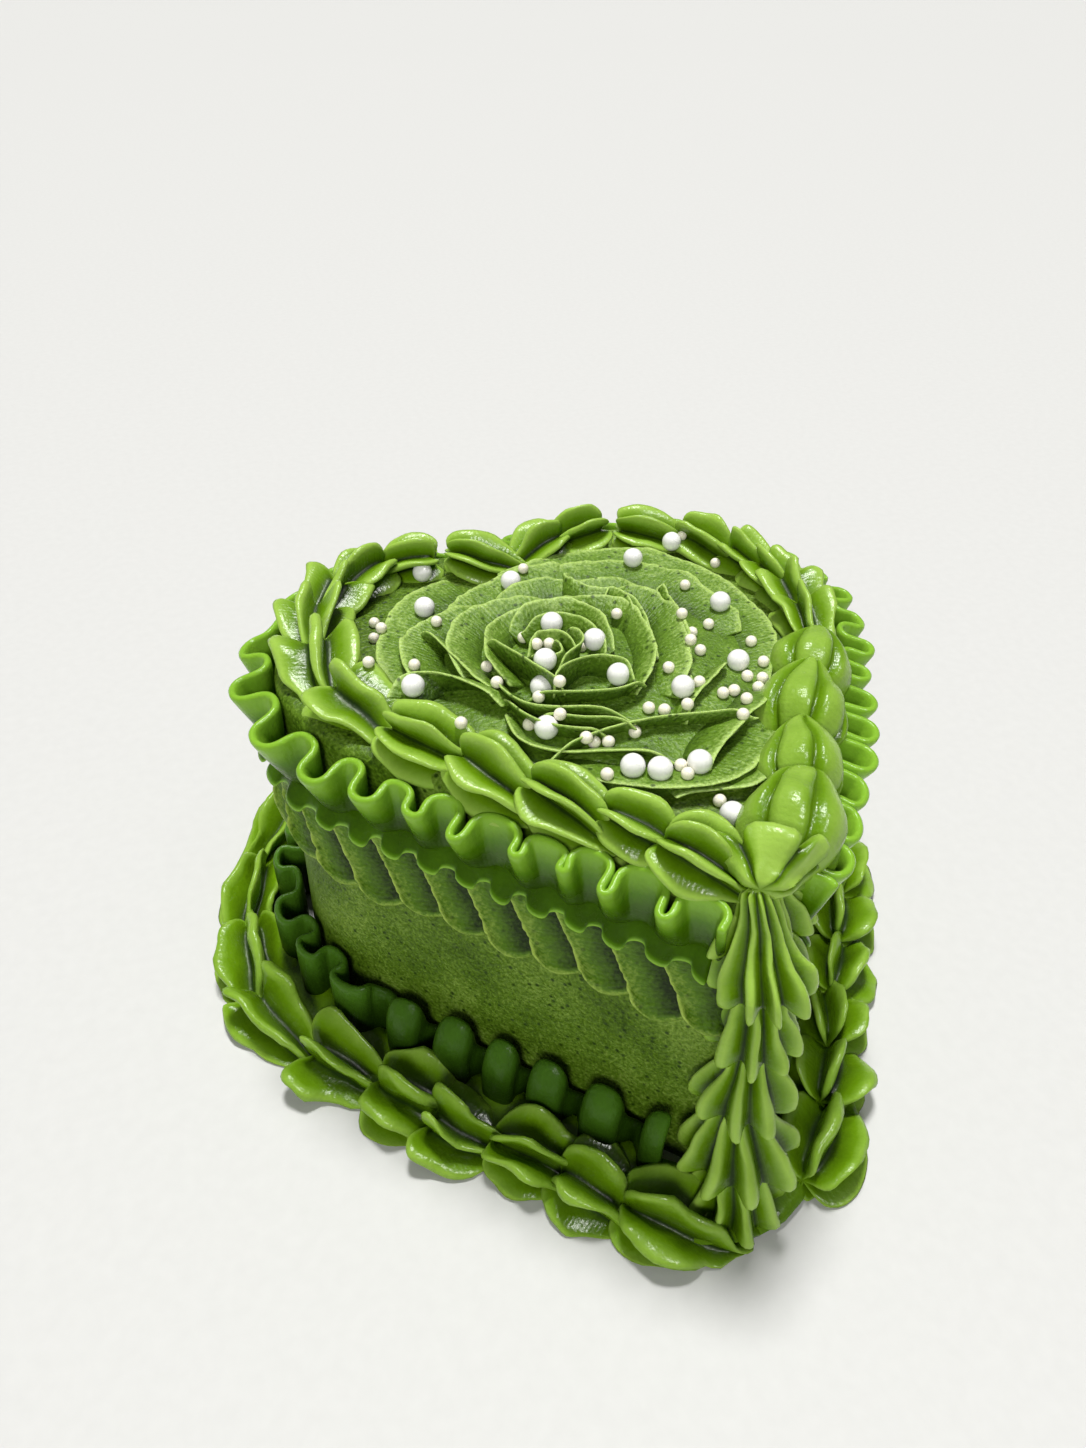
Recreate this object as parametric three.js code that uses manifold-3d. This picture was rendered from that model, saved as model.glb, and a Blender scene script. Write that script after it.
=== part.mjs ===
// A tall heart-shaped buttercream cake with piped borders, ruffles and a piped rose.
//
// Millimetres, +Z up, the point of the heart towards -Y. Every piped piece is one closed
// surface worked out from its sizes, and the pieces of a border are joined into one solid.
import * as THREE from 'three';
import { ParametricGeometry } from 'three/addons/geometries/ParametricGeometry.js';
import { mergeVertices } from 'three/addons/utils/BufferGeometryUtils.js';
import Module from 'manifold-3d';

// Heart-shaped cake
const CAKE_HEIGHT = 97;
const LOBE_RADIUS = 51;
const LOBE_SHIFT = 25.5;
const APEX = 109;
const POINT_ROUND = 8;
const CLEFT_ROUND = 14;
const EDGE_BEVEL = 2.5;
const CAKE_SIDES = 96;

// Shells round the top edge: distances run from the point of the heart to the cleft
const TOP_SHELL = { inset: -5.8, radius: 9.5, broad: 1.26, height: 3.6, fins: 5 };
const TOP_TRIM = 95;
const TOP_START = 7;
const TOP_RIGHT_RUN = 150;
const TOP_LEFT_RUN = 203;
const POINT_SHELL = { radius: 10.6, length: 24, overhang: 9, fins: 7, height: 3.8 };
const POINT_SHELL_ROWS = [[0, 0], [0, 0.5], [0.14, 0.92], [0.5, 1], [1, 0]];

// Shells standing on the table round the foot
const FOOT_SHELL = { inset: 20.8, radius: 11.2, broad: 1.05, height: 5.6, fins: 5 };
const FOOT_CLEARANCE = 11.6;
const FOOT_START = 7;
const FOOT_COUNT = 13;
const FOOT_GRADING = 1.1;
const ARM_OVERLAP = 5;

// Fans stacked up the point of the heart
const FAN = { radius: 12.6, fins: 7, spread: 1.22 };
const FAN_COUNT = 5;
const FAN_TOP = 94.6;
const FAN_LEAN = 11;
const FAN_SINK = 1.5;

// A piped shell along its length: how fat it is and how high it rides, head first
const SHELL_ROWS = [
  { at: 0, fat: 0.62, rise: 0.8 },
  { at: 0.15, fat: 0.96, rise: 2.4 },
  { at: 0.48, fat: 1, rise: 1.2 },
  { at: 0.82, fat: 0.68, rise: -0.9 },
];
const FIN_DEPTH = 0.56;

// Ruffles on the wall: how far out the ribbon swings, between which heights
const UPPER_RUFFLE = { waves: 36, out: 5.6, swing: 3.9, low: 81, high: 94.4, thick: 1.7, curl: 0.13 };
const LOWER_RUFFLE = { waves: 50, out: 4.6, swing: 1.1, low: 75.5, high: 80.4, droop: 1.3 };
const FOOT_RUFFLE = { waves: 30, out: 5.9, swing: 3.9, low: 0, high: 22.5, thick: 2.2, curl: 0.12 };
const FRILL = { panels: 38, high: 75, low: 53, scallop: 6, thin: 0.9, thick: 2.5, slant: 4 };

// Rose
const ROSE_CENTRE = new THREE.Vector2(-3, -18);
const ROSE_REACH = 56;
const ROSE_INSET = -17.4;
const ROSE_BED_SIDES = 40;
const ROSE_MOUND = { radius: 47, top: 9, height: 7 };
const PETAL_THICK = 1.8;

// Sugar pearls
const BIG_PEARL = 2.8;
const SMALL_PEARL = 1.5;

// Clear space left between pieces that touch, and a bound past everything
const GAP = 0.4;
const CUT_GAP = 0.7;
const RUFFLE_END = 9;
const FAR = 400;
const UPWARD = new THREE.Vector3(0, 0, 1);

const wasm = await Module();
wasm.setup();

// Colours and finishes
const buttercream = (color, roughness) => new THREE.MeshStandardMaterial({ color, roughness, metalness: 0 });
const FINISH = {
  wall: buttercream('#55733a', 0.62),
  rose: buttercream('#648c46', 0.6),
  shells: buttercream('#7db32c', 0.38),
  ruffle: buttercream('#4d8c1f', 0.36),
  frill: buttercream('#5d8a3c', 0.55),
  foot: buttercream('#3f6f22', 0.42),
};

// Repeatable random numbers
function dice(seed) {
  let state = seed;
  return () => {
    state = (state + 0x6d2b79f5) | 0;
    let mixed = Math.imul(state ^ (state >>> 15), 1 | state);
    mixed = (mixed + Math.imul(mixed ^ (mixed >>> 7), 61 | mixed)) ^ mixed;
    return ((mixed ^ (mixed >>> 14)) >>> 0) / 4294967296;
  };
}

// Closed meshes to solids and back
function toSolid(geometry) {
  geometry.deleteAttribute('normal');
  geometry.deleteAttribute('uv');
  const merged = mergeVertices(geometry, 1e-3);
  const position = merged.attributes.position;
  const kept = [];
  let volume = 0;
  const [a, b, c] = [new THREE.Vector3(), new THREE.Vector3(), new THREE.Vector3()];
  for (let i = 0; i < merged.index.count; i += 3) {
    const corners = [0, 1, 2].map((k) => merged.index.getX(i + k));
    if (new Set(corners).size < 3) {
      continue;
    }
    kept.push(...corners);
    a.fromBufferAttribute(position, corners[0]);
    b.fromBufferAttribute(position, corners[1]);
    c.fromBufferAttribute(position, corners[2]);
    volume += a.dot(b.cross(c));
  }
  if (volume < 0) {
    kept.reverse();
  }
  const mesh = new wasm.Mesh({
    numProp: 3,
    vertProperties: new Float32Array(position.array),
    triVerts: new Uint32Array(kept),
  });
  return new wasm.Manifold(mesh);
}

function toMesh(name, solid, finish) {
  const { vertProperties, triVerts } = solid.getMesh();
  const geometry = new THREE.BufferGeometry();
  geometry.setAttribute('position', new THREE.BufferAttribute(new Float32Array(vertProperties), 3));
  geometry.setIndex(new THREE.BufferAttribute(new Uint32Array(triVerts), 1));
  geometry.computeVertexNormals();
  const mesh = new THREE.Mesh(geometry, finish);
  mesh.name = name;
  return mesh;
}

const joinAll = (solids) => solids.reduce((whole, next) => whole.add(next));

// A block that reaches from one height to another, past everything sideways
function slab(low, high) {
  const box = new THREE.BoxGeometry(FAR, FAR, high - low);
  box.translate(0, 0, (low + high) / 2);
  return toSolid(box);
}

// Heart outline, grown or shrunk by an inset, from the point round the right lobe and back
const SIDE_SLOPE = Math.atan2(LOBE_SHIFT, APEX) + Math.asin(LOBE_RADIUS / Math.hypot(LOBE_SHIFT, APEX));

function heartShape(grow) {
  const lobe = LOBE_RADIUS + grow;
  const point = Math.max(POINT_ROUND + grow, 0.5);
  const cleft = Math.max(CLEFT_ROUND - grow, 1);
  const pointY = -APEX - grow / Math.sin(SIDE_SLOPE) + point / Math.sin(SIDE_SLOPE);
  const cleftY = Math.sqrt((lobe + cleft) ** 2 - LOBE_SHIFT ** 2);
  const turn = Math.atan2(cleftY, -LOBE_SHIFT);
  const shape = new THREE.Shape();
  shape.absarc(0, pointY, point, -Math.PI / 2, -SIDE_SLOPE, false);
  shape.absarc(LOBE_SHIFT, 0, lobe, -SIDE_SLOPE, turn, false);
  shape.absarc(0, cleftY, cleft, turn - Math.PI, -turn, true);
  shape.absarc(-LOBE_SHIFT, 0, lobe, Math.PI - turn, Math.PI + SIDE_SLOPE, false);
  shape.absarc(0, pointY, point, Math.PI + SIDE_SLOPE, 1.5 * Math.PI, false);
  return shape;
}

// Walks along an outline: a distance gives the place there and the way out from the cake
function walkAlong(path, flip = 1) {
  const total = path.getLength();
  const at = (distance) => {
    const t = THREE.MathUtils.euclideanModulo(distance / total, 1);
    const place = path.getPoint(t);
    const along = path.getTangent(t);
    place.x *= flip;
    return { place, out: new THREE.Vector2(along.y * flip, -along.x) };
  };
  return { at, total };
}

// Half the outline from the point to a little past the cleft, where two arms of piping meet
function halfOutline(grow, past) {
  const lobe = LOBE_RADIUS + grow;
  const point = Math.max(POINT_ROUND + grow, 0.5);
  const cleft = CLEFT_ROUND - grow;
  const pointY = -APEX - grow / Math.sin(SIDE_SLOPE) + point / Math.sin(SIDE_SLOPE);
  const path = new THREE.Path();
  path.absarc(0, pointY, point, -Math.PI / 2, -SIDE_SLOPE, false);
  if (cleft < 1) {
    path.absarc(LOBE_SHIFT, 0, lobe, -SIDE_SLOPE, Math.acos(-LOBE_SHIFT / lobe) + past / lobe, false);
    return path;
  }
  const cleftY = Math.sqrt((lobe + cleft) ** 2 - LOBE_SHIFT ** 2);
  const turn = Math.atan2(cleftY, -LOBE_SHIFT);
  path.absarc(LOBE_SHIFT, 0, lobe, -SIDE_SLOPE, turn, false);
  path.absarc(0, cleftY, cleft, turn - Math.PI, -Math.PI / 2 - past / cleft, true);
  return path;
}

function heartPrism(grow, low, high, sides = CAKE_SIDES) {
  const corners = heartShape(grow).getSpacedPoints(sides).slice(1);
  const prism = new THREE.ExtrudeGeometry(new THREE.Shape(corners), { depth: high - low, bevelEnabled: false });
  prism.translate(0, 0, low);
  return toSolid(prism);
}

// Cake: the heart with its top edge bevelled, closed to a middle point above and below
function cakeBody() {
  const rows = [
    { outline: null, z: 0 },
    { outline: heartShape(0), z: 0 },
    { outline: heartShape(0), z: CAKE_HEIGHT - EDGE_BEVEL },
    { outline: heartShape(-EDGE_BEVEL), z: CAKE_HEIGHT },
    { outline: null, z: CAKE_HEIGHT },
  ];
  const surface = (u, v, target) => {
    const { outline, z } = rows[Math.round(v * (rows.length - 1))];
    const place = outline ? outline.getPoint(u % 1) : new THREE.Vector2(0, 0);
    target.set(place.x, place.y, z);
  };
  return toSolid(new ParametricGeometry(surface, CAKE_SIDES, rows.length - 1));
}

// A sweep of star sections, closed to a point at both ends.
// Each row gives a place, the two ways across, a radius and a roll.
function starSweep(rows, fins, depth, settle = (point) => point) {
  const last = rows.length - 1;
  const surface = (u, v, target) => {
    const row = rows[Math.round(v * last)];
    const corner = Math.round(u * 2 * fins) % (2 * fins);
    const angle = (Math.PI * corner) / fins + row.roll;
    const r = row.radius * (corner % 2 === 0 ? 1 : depth);
    target.copy(row.place);
    target.addScaledVector(row.side, r * Math.cos(angle));
    target.addScaledVector(row.up, r * Math.sin(angle));
    target.copy(settle(target, row));
  };
  return toSolid(new ParametricGeometry(surface, 2 * fins, last));
}

// The piping of a run of shells: the rows of each, in the order of the outline
function runRows({ from, to, count, reverse, grading = 1 }, random) {
  const startOf = (k) => from + (to - from) * (k / count) ** grading;
  const rows = [];
  for (let k = 0; k < count; k += 1) {
    const grow = 0.93 + 0.14 * random();
    const roll = Math.PI / 2 + (random() - 0.5) * 0.3;
    const shape = SHELL_ROWS.map(({ at, fat, rise }) => ({
      distance: THREE.MathUtils.lerp(startOf(k), startOf(k + 1), reverse ? 1 - at : at),
      fat: fat * grow,
      rise,
      roll,
    }));
    rows.push(...(reverse ? shape.reverse() : shape));
  }
  return rows;
}

// Runs of shells along half an outline, laid on a level and kept clear of what is beside them
function shellArm(sizes, level, flip, runs, random, settle) {
  const route = walkAlong(halfOutline(sizes.inset, ARM_OVERLAP), flip);
  const rows = runs.flatMap((run) => runRows(run, random)).map(({ distance, fat, rise, roll }) => {
    const { place, out } = route.at(distance);
    const outward = new THREE.Vector3(out.x, out.y, 0);
    return {
      place: new THREE.Vector3(place.x, place.y, level + sizes.height + rise),
      outward,
      side: outward.clone().multiplyScalar(sizes.broad),
      up: UPWARD,
      radius: sizes.radius * fat,
      roll,
    };
  });
  const [first, final] = [rows[0], rows[rows.length - 1]];
  rows.unshift({ ...first, radius: 0 });
  rows.push({ ...final, radius: 0 });
  const offWall = (point, row) => point.clone().sub(row.place).dot(row.outward) + sizes.inset;
  return starSweep(rows, sizes.fins, FIN_DEPTH, (point, row) => settle(point, row.outward, offWall(point, row)));
}

const heartPointY = (grow) => heartShape(grow).getPoint(0).y;
const armLength = (grow) => halfOutline(grow, ARM_OVERLAP).getLength();

function topBorder() {
  const random = dice(7);
  const end = armLength(TOP_SHELL.inset) - 1;
  const settle = (point, outward, offWall) => {
    point.z = Math.max(point.z, offWall > -EDGE_BEVEL ? TOP_TRIM : CAKE_HEIGHT + GAP);
    return point;
  };
  const rightRuns = [
    { from: TOP_START, to: TOP_RIGHT_RUN, count: 7, reverse: true },
    { from: TOP_RIGHT_RUN, to: end, count: 4, reverse: false },
  ];
  const leftRuns = [
    { from: TOP_START, to: TOP_LEFT_RUN, count: 10, reverse: true },
    { from: TOP_LEFT_RUN, to: end, count: 1, reverse: false },
  ];
  const head = heartPointY(TOP_SHELL.inset) - POINT_SHELL.overhang;
  const pointRows = POINT_SHELL_ROWS.map(([at, fat]) => ({
    place: new THREE.Vector3(0, head + at * POINT_SHELL.length, CAKE_HEIGHT + POINT_SHELL.height),
    side: new THREE.Vector3(1, 0, 0),
    up: UPWARD,
    radius: POINT_SHELL.radius * fat,
    roll: Math.PI / 2,
  }));
  return joinAll([
    shellArm(TOP_SHELL, CAKE_HEIGHT, 1, rightRuns, random, settle),
    shellArm(TOP_SHELL, CAKE_HEIGHT, -1, leftRuns, random, settle),
    starSweep(pointRows, POINT_SHELL.fins, FIN_DEPTH).intersect(slab(TOP_TRIM, FAR)),
  ]);
}

function footBorder() {
  const random = dice(19);
  const settle = (point, outward, offWall) => {
    point.addScaledVector(outward, Math.max(0, FOOT_CLEARANCE - offWall));
    point.z = Math.max(point.z, 0);
    return point;
  };
  const run = {
    from: FOOT_START,
    to: armLength(FOOT_SHELL.inset) - 1,
    count: FOOT_COUNT,
    grading: FOOT_GRADING,
  };
  return joinAll([
    shellArm(FOOT_SHELL, 0, 1, [{ ...run, reverse: false }], random, settle),
    shellArm(FOOT_SHELL, 0, -1, [{ ...run, reverse: true }], random, settle),
  ]);
}

// Fans up the point of the heart: each spreads at its foot and is drawn together above
function pointFans(grow, depth) {
  const random = dice(31);
  const wallY = heartPointY(0);
  const step = FAN_TOP / FAN_COUNT;
  const rows = [];
  for (let k = 0; k < FAN_COUNT; k += 1) {
    const size = FAN.radius * (0.95 + 0.1 * random()) * (k === 0 ? FAN.spread : 1);
    const roll = -Math.PI / 2 + (random() - 0.5) * 0.2;
    for (const { at, fat, rise } of SHELL_ROWS) {
      const z = (k + at) * step;
      const lean = FAN_LEAN * (1 - z / FAN_TOP) ** 1.3;
      rows.push({
        place: new THREE.Vector3(0, wallY - FAN_SINK - lean - rise, z),
        radius: size * (k === 0 && at === 0 ? 0.95 : fat) + grow,
        roll,
      });
    }
  }
  rows.push({ ...rows[rows.length - 1] });
  rows[rows.length - 1].place = new THREE.Vector3(0, wallY - FAN_SINK, FAN_TOP);
  rows.unshift({ ...rows[0], radius: 0 });
  rows.push({ ...rows[rows.length - 1], radius: 0 });
  const across = { side: new THREE.Vector3(1, 0, 0), up: new THREE.Vector3(0, 1, 0) };
  return starSweep(rows.map((row) => ({ ...row, ...across })), FAN.fins, depth);
}

// A strip along the wall from one distance to another, closed to a point at both ends
function strip(from, to, stations, corners, sectionAt) {
  const route = walkAlong(heartShape(0));
  const surface = (u, v, target) => {
    const station = Math.round(v * stations);
    const corner = Math.round(u * corners) % corners;
    const atEnd = station === 0 || station === stations;
    const distance = from + ((to - from) * station) / stations;
    const section = (k) => sectionAt(station, k);
    const point = atEnd
      ? section(0).clone().add(section(2)).multiplyScalar(0.5)
      : section(corner);
    const { place, out } = route.at(distance + point.x);
    target.set(place.x + out.x * point.y, place.y + out.y * point.y, point.z);
  };
  return toSolid(new ParametricGeometry(surface, corners, stations));
}

// A ribbon that stands on edge and swings out and in as it goes round the wall
function standingRuffle(sizes, seed) {
  const random = dice(seed);
  const total = heartShape(0).getLength();
  const perWave = 5;
  const stations = sizes.waves * perWave;
  const wave = (total - 2 * RUFFLE_END) / sizes.waves;
  const swings = Array.from({ length: sizes.waves + 1 }, () => 0.82 + 0.26 * random());
  const rises = Array.from({ length: sizes.waves + 1 }, () => random());
  const sectionAt = (station, corner) => {
    const phase = (2 * Math.PI * station) / perWave;
    const index = Math.floor(station / perWave);
    const isTop = corner === 1 || corner === 2;
    const swing = sizes.swing * swings[index] * (isTop ? 1 : 0.7);
    const slope = Math.atan2(-swing * Math.sin(phase) * 2 * Math.PI, wave * 0.62);
    const half = (corner === 0 || corner === 1 ? 0.5 : -0.5) * sizes.thick;
    const along = -sizes.curl * wave * Math.sin(2 * phase) - half * Math.sin(slope);
    const out = sizes.out + swing * Math.cos(phase) + half * Math.cos(slope);
    const height = isTop ? sizes.high - 1.4 * rises[index] * (0.5 - 0.5 * Math.cos(phase)) : sizes.low;
    return new THREE.Vector3(along, out, height);
  };
  return strip(RUFFLE_END, total - RUFFLE_END, stations, 4, sectionAt);
}

// A thin flounce below it, whose lower edge ripples
function lowerRuffle() {
  const random = dice(53);
  const total = heartShape(0).getLength();
  const perWave = 3;
  const stations = LOWER_RUFFLE.waves * perWave;
  const drops = Array.from({ length: LOWER_RUFFLE.waves + 1 }, () => 0.7 + 0.6 * random());
  const sectionAt = (station, corner) => {
    const phase = (2 * Math.PI * station) / perWave;
    const drop = drops[Math.floor(station / perWave)];
    if (corner === 0) {
      return new THREE.Vector3(0, GAP, LOWER_RUFFLE.high);
    }
    if (corner === 1) {
      const out = LOWER_RUFFLE.out + LOWER_RUFFLE.swing * Math.cos(phase);
      return new THREE.Vector3(0, out, LOWER_RUFFLE.low + 1.6 - LOWER_RUFFLE.droop * drop * Math.cos(phase));
    }
    return new THREE.Vector3(0, GAP, LOWER_RUFFLE.low);
  };
  return strip(RUFFLE_END, total - RUFFLE_END, stations, 3, sectionAt);
}

// Overlapping petals pressed flat on the wall, each with a round lower end
function petalFrill() {
  const random = dice(71);
  const total = heartShape(0).getLength();
  const steps = [0, 0.12, 0.6];
  const stations = FRILL.panels * steps.length;
  const width = (total - 2 * RUFFLE_END) / FRILL.panels;
  const drops = Array.from({ length: FRILL.panels + 1 }, () => 2.4 * (random() - 0.5));
  const sectionAt = (station, corner) => {
    const k = station % steps.length;
    const index = Math.floor(station / steps.length);
    const even = station / steps.length - index;
    const along = (steps[k] - even) * width;
    const fold = k === 0 ? FRILL.thin : FRILL.thick - (FRILL.thick - FRILL.thin) * steps[k];
    const round = FRILL.scallop * (2 * Math.abs(steps[k] - 0.45)) ** 2;
    const isLow = corner === 1 || corner === 2;
    const height = isLow ? FRILL.low + drops[index] + round : FRILL.high;
    const out = corner < 2 ? GAP : GAP + fold;
    return new THREE.Vector3(along + (isLow ? FRILL.slant : 0), out, height);
  };
  return strip(RUFFLE_END, total - RUFFLE_END - FRILL.slant, stations, 4, sectionAt);
}

// How far the rose can reach in a direction before it meets the shells
function roseReach(angle) {
  const ring = heartShape(ROSE_INSET - 1).getSpacedPoints(120);
  let best = ROSE_REACH;
  for (const point of ring) {
    const ray = point.clone().sub(ROSE_CENTRE);
    const turn = Math.abs(Math.atan2(Math.sin(ray.angle() - angle), Math.cos(ray.angle() - angle)));
    if (turn < 0.06) {
      best = Math.min(best, ray.length());
    }
  }
  return best;
}

// One rose petal: a ribbon bent round the centre, high in its middle, leaning out
function rosePetal({ angle, share, span, height, lean, base }) {
  const bends = 5;
  const surface = (u, v, target) => {
    const station = Math.round(v * bends);
    const corner = Math.round(u * 4) % 4;
    const t = station / bends;
    const turn = angle + (t - 0.5) * span;
    const reach = Math.min(roseReach(turn), ROSE_REACH);
    const arch = Math.sin(Math.PI * (0.08 + 0.84 * t)) ** 0.6;
    const atEnd = station === 0 || station === bends;
    const isRim = corner === 1 || corner === 2;
    const outer = corner < 2 ? 0.5 : -0.5;
    const rise = height * arch * (atEnd ? 0.5 : 1) * (isRim || atEnd ? 1 : 0);
    const radius = reach * share + Math.sin(lean) * rise + (atEnd ? 0 : outer * PETAL_THICK * Math.cos(lean));
    const z = base + Math.cos(lean) * rise - (atEnd ? 0 : outer * PETAL_THICK * Math.sin(lean));
    target.set(ROSE_CENTRE.x + radius * Math.cos(turn), ROSE_CENTRE.y + radius * Math.sin(turn), z);
  };
  return toSolid(new ParametricGeometry(surface, 4, bends));
}

function roseSolid() {
  const random = dice(97);
  const rings = [
    { petals: 2, share: 0.06, span: 3.4, height: 8, lean: -0.1, base: 103.6 },
    { petals: 3, share: 0.17, span: 2.5, height: 9, lean: 0.12, base: 102 },
    { petals: 4, share: 0.35, span: 2.0, height: 10.5, lean: 0.35, base: 100.4 },
    { petals: 5, share: 0.56, span: 1.6, height: 11.5, lean: 0.6, base: 98.8 },
    { petals: 6, share: 0.79, span: 1.35, height: 12.5, lean: 0.85, base: 97.2 },
  ];
  const mound = toSolid(new THREE.LatheGeometry([
    new THREE.Vector2(0, 0),
    new THREE.Vector2(ROSE_MOUND.radius, 0),
    new THREE.Vector2(ROSE_MOUND.radius * 0.7, ROSE_MOUND.height * 0.45),
    new THREE.Vector2(ROSE_MOUND.top, ROSE_MOUND.height),
    new THREE.Vector2(0, ROSE_MOUND.height),
  ], 14).rotateX(Math.PI / 2).translate(ROSE_CENTRE.x, ROSE_CENTRE.y, CAKE_HEIGHT));
  let rose = mound;
  let start = 0.4;
  for (const ring of rings) {
    for (let k = 0; k < ring.petals; k += 1) {
      const angle = start + (2 * Math.PI * k) / ring.petals + (random() - 0.5) * 0.2;
      const height = ring.height * (0.92 + 0.16 * random());
      rose = rose.add(rosePetal({ ...ring, angle, height }));
    }
    start += 1.1;
  }
  const bed = heartPrism(ROSE_INSET, CAKE_HEIGHT + GAP, FAR, ROSE_BED_SIDES);
  return rose.intersect(bed);
}

// Pearls dropped straight down on the rose: the big ones, then small ones in clusters
const BIG_PEARLS = [
  [-32, 24], [-36, 7], [-10, 12], [-46, -25], [38, 15], [27, 12], [35, -18], [25, -42], [10, -48],
  [-8, -12], [-3, -24], [-17, -27], [-21, -36], [-3, -39], [-27, -50], [-14, -64], [-9, -67], [-1, -69],
];
const PEARL_CLUSTERS = [
  [-47, 0, 4, 4], [-35, 1, 2, 3], [-3, 17, 1, 2], [40, 14, 2, 4], [-14, -15, 5, 4], [10, -12, 1, 2],
  [-29, -26, 2, 5], [-18, -38, 4, 5], [-26, -50, 3, 4], [-16, -58, 4, 4], [-3, -67, 5, 4],
  [21, -29, 4, 4], [24, -46, 6, 6], [4, -54, 3, 5],
];

function scatterPearls(rose) {
  const random = dice(113);
  const target = toMesh('bed', rose, FINISH.rose);
  const caster = new THREE.Raycaster();
  const down = new THREE.Vector3(0, 0, -1);
  const placed = [];
  const drop = (x, y, radius) => {
    caster.set(new THREE.Vector3(x, y, FAR), down);
    const hit = caster.intersectObject(target)[0];
    if (!hit || hit.point.z < CAKE_HEIGHT + 1) {
      return;
    }
    const centre = new THREE.Vector3(x, y, hit.point.z + radius * 0.55);
    if (placed.some((other) => other.centre.distanceTo(centre) < other.radius + radius + 0.1)) {
      return;
    }
    placed.push({ centre, radius });
  };
  for (const [x, y] of BIG_PEARLS) {
    drop(x, y, BIG_PEARL);
  }
  for (const [x, y, count, spread] of PEARL_CLUSTERS) {
    for (let k = 0; k < count; k += 1) {
      drop(x + spread * (2 * random() - 1), y + spread * (2 * random() - 1), SMALL_PEARL);
    }
  }
  return placed.map(({ centre, radius }) => {
    const ball = new THREE.IcosahedronGeometry(radius, 0);
    ball.translate(centre.x, centre.y, centre.z);
    return toSolid(ball);
  });
}

// Each piece, cut clear of what it lies against, without the loose scraps of a cut
const wallGrown = heartPrism(CUT_GAP, -1, CAKE_HEIGHT + GAP);
const fansGrown = pointFans(GAP, 1);

function cutClear(solid, other) {
  const bodies = solid.subtract(other).decompose();
  return bodies.reduce((best, next) => (next.volume() > best.volume() ? next : best));
}

const cake = new THREE.Group();
cake.add(toMesh('cake_body', cakeBody(), FINISH.wall));

const rose = roseSolid();
cake.add(toMesh('rose', joinAll([rose, ...scatterPearls(rose)]), FINISH.rose));

cake.add(toMesh('top_shell_border', cutClear(topBorder(), wallGrown), FINISH.shells));
cake.add(toMesh('point_fans', cutClear(pointFans(0, FIN_DEPTH), wallGrown), FINISH.shells));
cake.add(toMesh('upper_ruffle', cutClear(standingRuffle(UPPER_RUFFLE, 41), fansGrown), FINISH.ruffle));
cake.add(toMesh('lower_ruffle', cutClear(lowerRuffle(), fansGrown), FINISH.ruffle));
cake.add(toMesh('petal_frill', cutClear(petalFrill(), fansGrown), FINISH.frill));
cake.add(toMesh('foot_ruffle', cutClear(standingRuffle(FOOT_RUFFLE, 61), fansGrown), FINISH.foot));
cake.add(toMesh('foot_shell_border', cutClear(footBorder(), fansGrown), FINISH.shells));

// Stand it on the table with the middle of its footprint at the origin
const extent = new THREE.Box3().setFromObject(cake);
const middle = extent.getCenter(new THREE.Vector3());
cake.position.set(-middle.x, -middle.y, -extent.min.z);

export default cake;
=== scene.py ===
# %% [markdown]
# # A piped heart cake
# A tall heart of sponge under a smooth coat of green buttercream, finished with piping from star and
# petal nozzles: shells round the top and the foot, ruffles on the wall, fans up the point, and a big
# rose with sugar pearls. Each sort of piping is modelled once, the way the nozzle makes it, and copied
# along the heart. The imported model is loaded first, because it fixes every place and size.

# %% Load the fixed frame
import math
import random

import bmesh
import bpy
from mathutils import Matrix, Vector, noise
from mathutils.bvhtree import BVHTree


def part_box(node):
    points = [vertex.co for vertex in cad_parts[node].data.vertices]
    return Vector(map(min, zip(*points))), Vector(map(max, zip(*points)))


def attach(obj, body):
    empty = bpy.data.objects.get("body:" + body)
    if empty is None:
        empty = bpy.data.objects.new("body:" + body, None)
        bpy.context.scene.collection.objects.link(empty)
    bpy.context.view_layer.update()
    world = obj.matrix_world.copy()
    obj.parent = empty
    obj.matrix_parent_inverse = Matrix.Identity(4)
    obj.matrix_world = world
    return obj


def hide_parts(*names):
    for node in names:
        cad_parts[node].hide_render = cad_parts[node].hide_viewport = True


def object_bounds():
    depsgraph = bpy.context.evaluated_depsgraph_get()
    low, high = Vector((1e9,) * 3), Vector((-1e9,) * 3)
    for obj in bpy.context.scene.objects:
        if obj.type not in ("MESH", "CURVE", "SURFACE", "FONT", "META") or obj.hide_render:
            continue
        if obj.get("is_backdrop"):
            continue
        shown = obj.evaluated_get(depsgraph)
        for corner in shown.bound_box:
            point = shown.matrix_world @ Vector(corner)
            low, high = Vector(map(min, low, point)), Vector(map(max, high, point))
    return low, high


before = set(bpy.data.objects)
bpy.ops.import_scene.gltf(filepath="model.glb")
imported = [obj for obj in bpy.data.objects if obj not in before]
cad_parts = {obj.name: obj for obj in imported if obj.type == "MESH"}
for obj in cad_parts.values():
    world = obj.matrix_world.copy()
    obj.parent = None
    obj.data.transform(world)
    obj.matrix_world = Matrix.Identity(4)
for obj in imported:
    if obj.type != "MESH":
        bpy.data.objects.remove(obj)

MM = 0.001
CAD_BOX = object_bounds()
print("CAD box in mm", [[round(c / MM, 1) for c in corner] for corner in CAD_BOX])

# %% [markdown]
# ## Working tools
# An operator acts on whatever is selected, so `only` picks one object first. `refine` adds a modifier
# and applies it, and `reshape` moves every vertex by a rule, which is how a flat strip of icing is
# folded here: bend and similar tools need a window, and a formula repeats exactly. `thicken` then turns
# the folded strip into icing.

# %% Small helpers for selecting, shaping and copying
def only(piece):
    bpy.ops.object.select_all(action="DESELECT")
    piece.select_set(True)
    bpy.context.view_layer.objects.active = piece
    return piece


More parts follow.
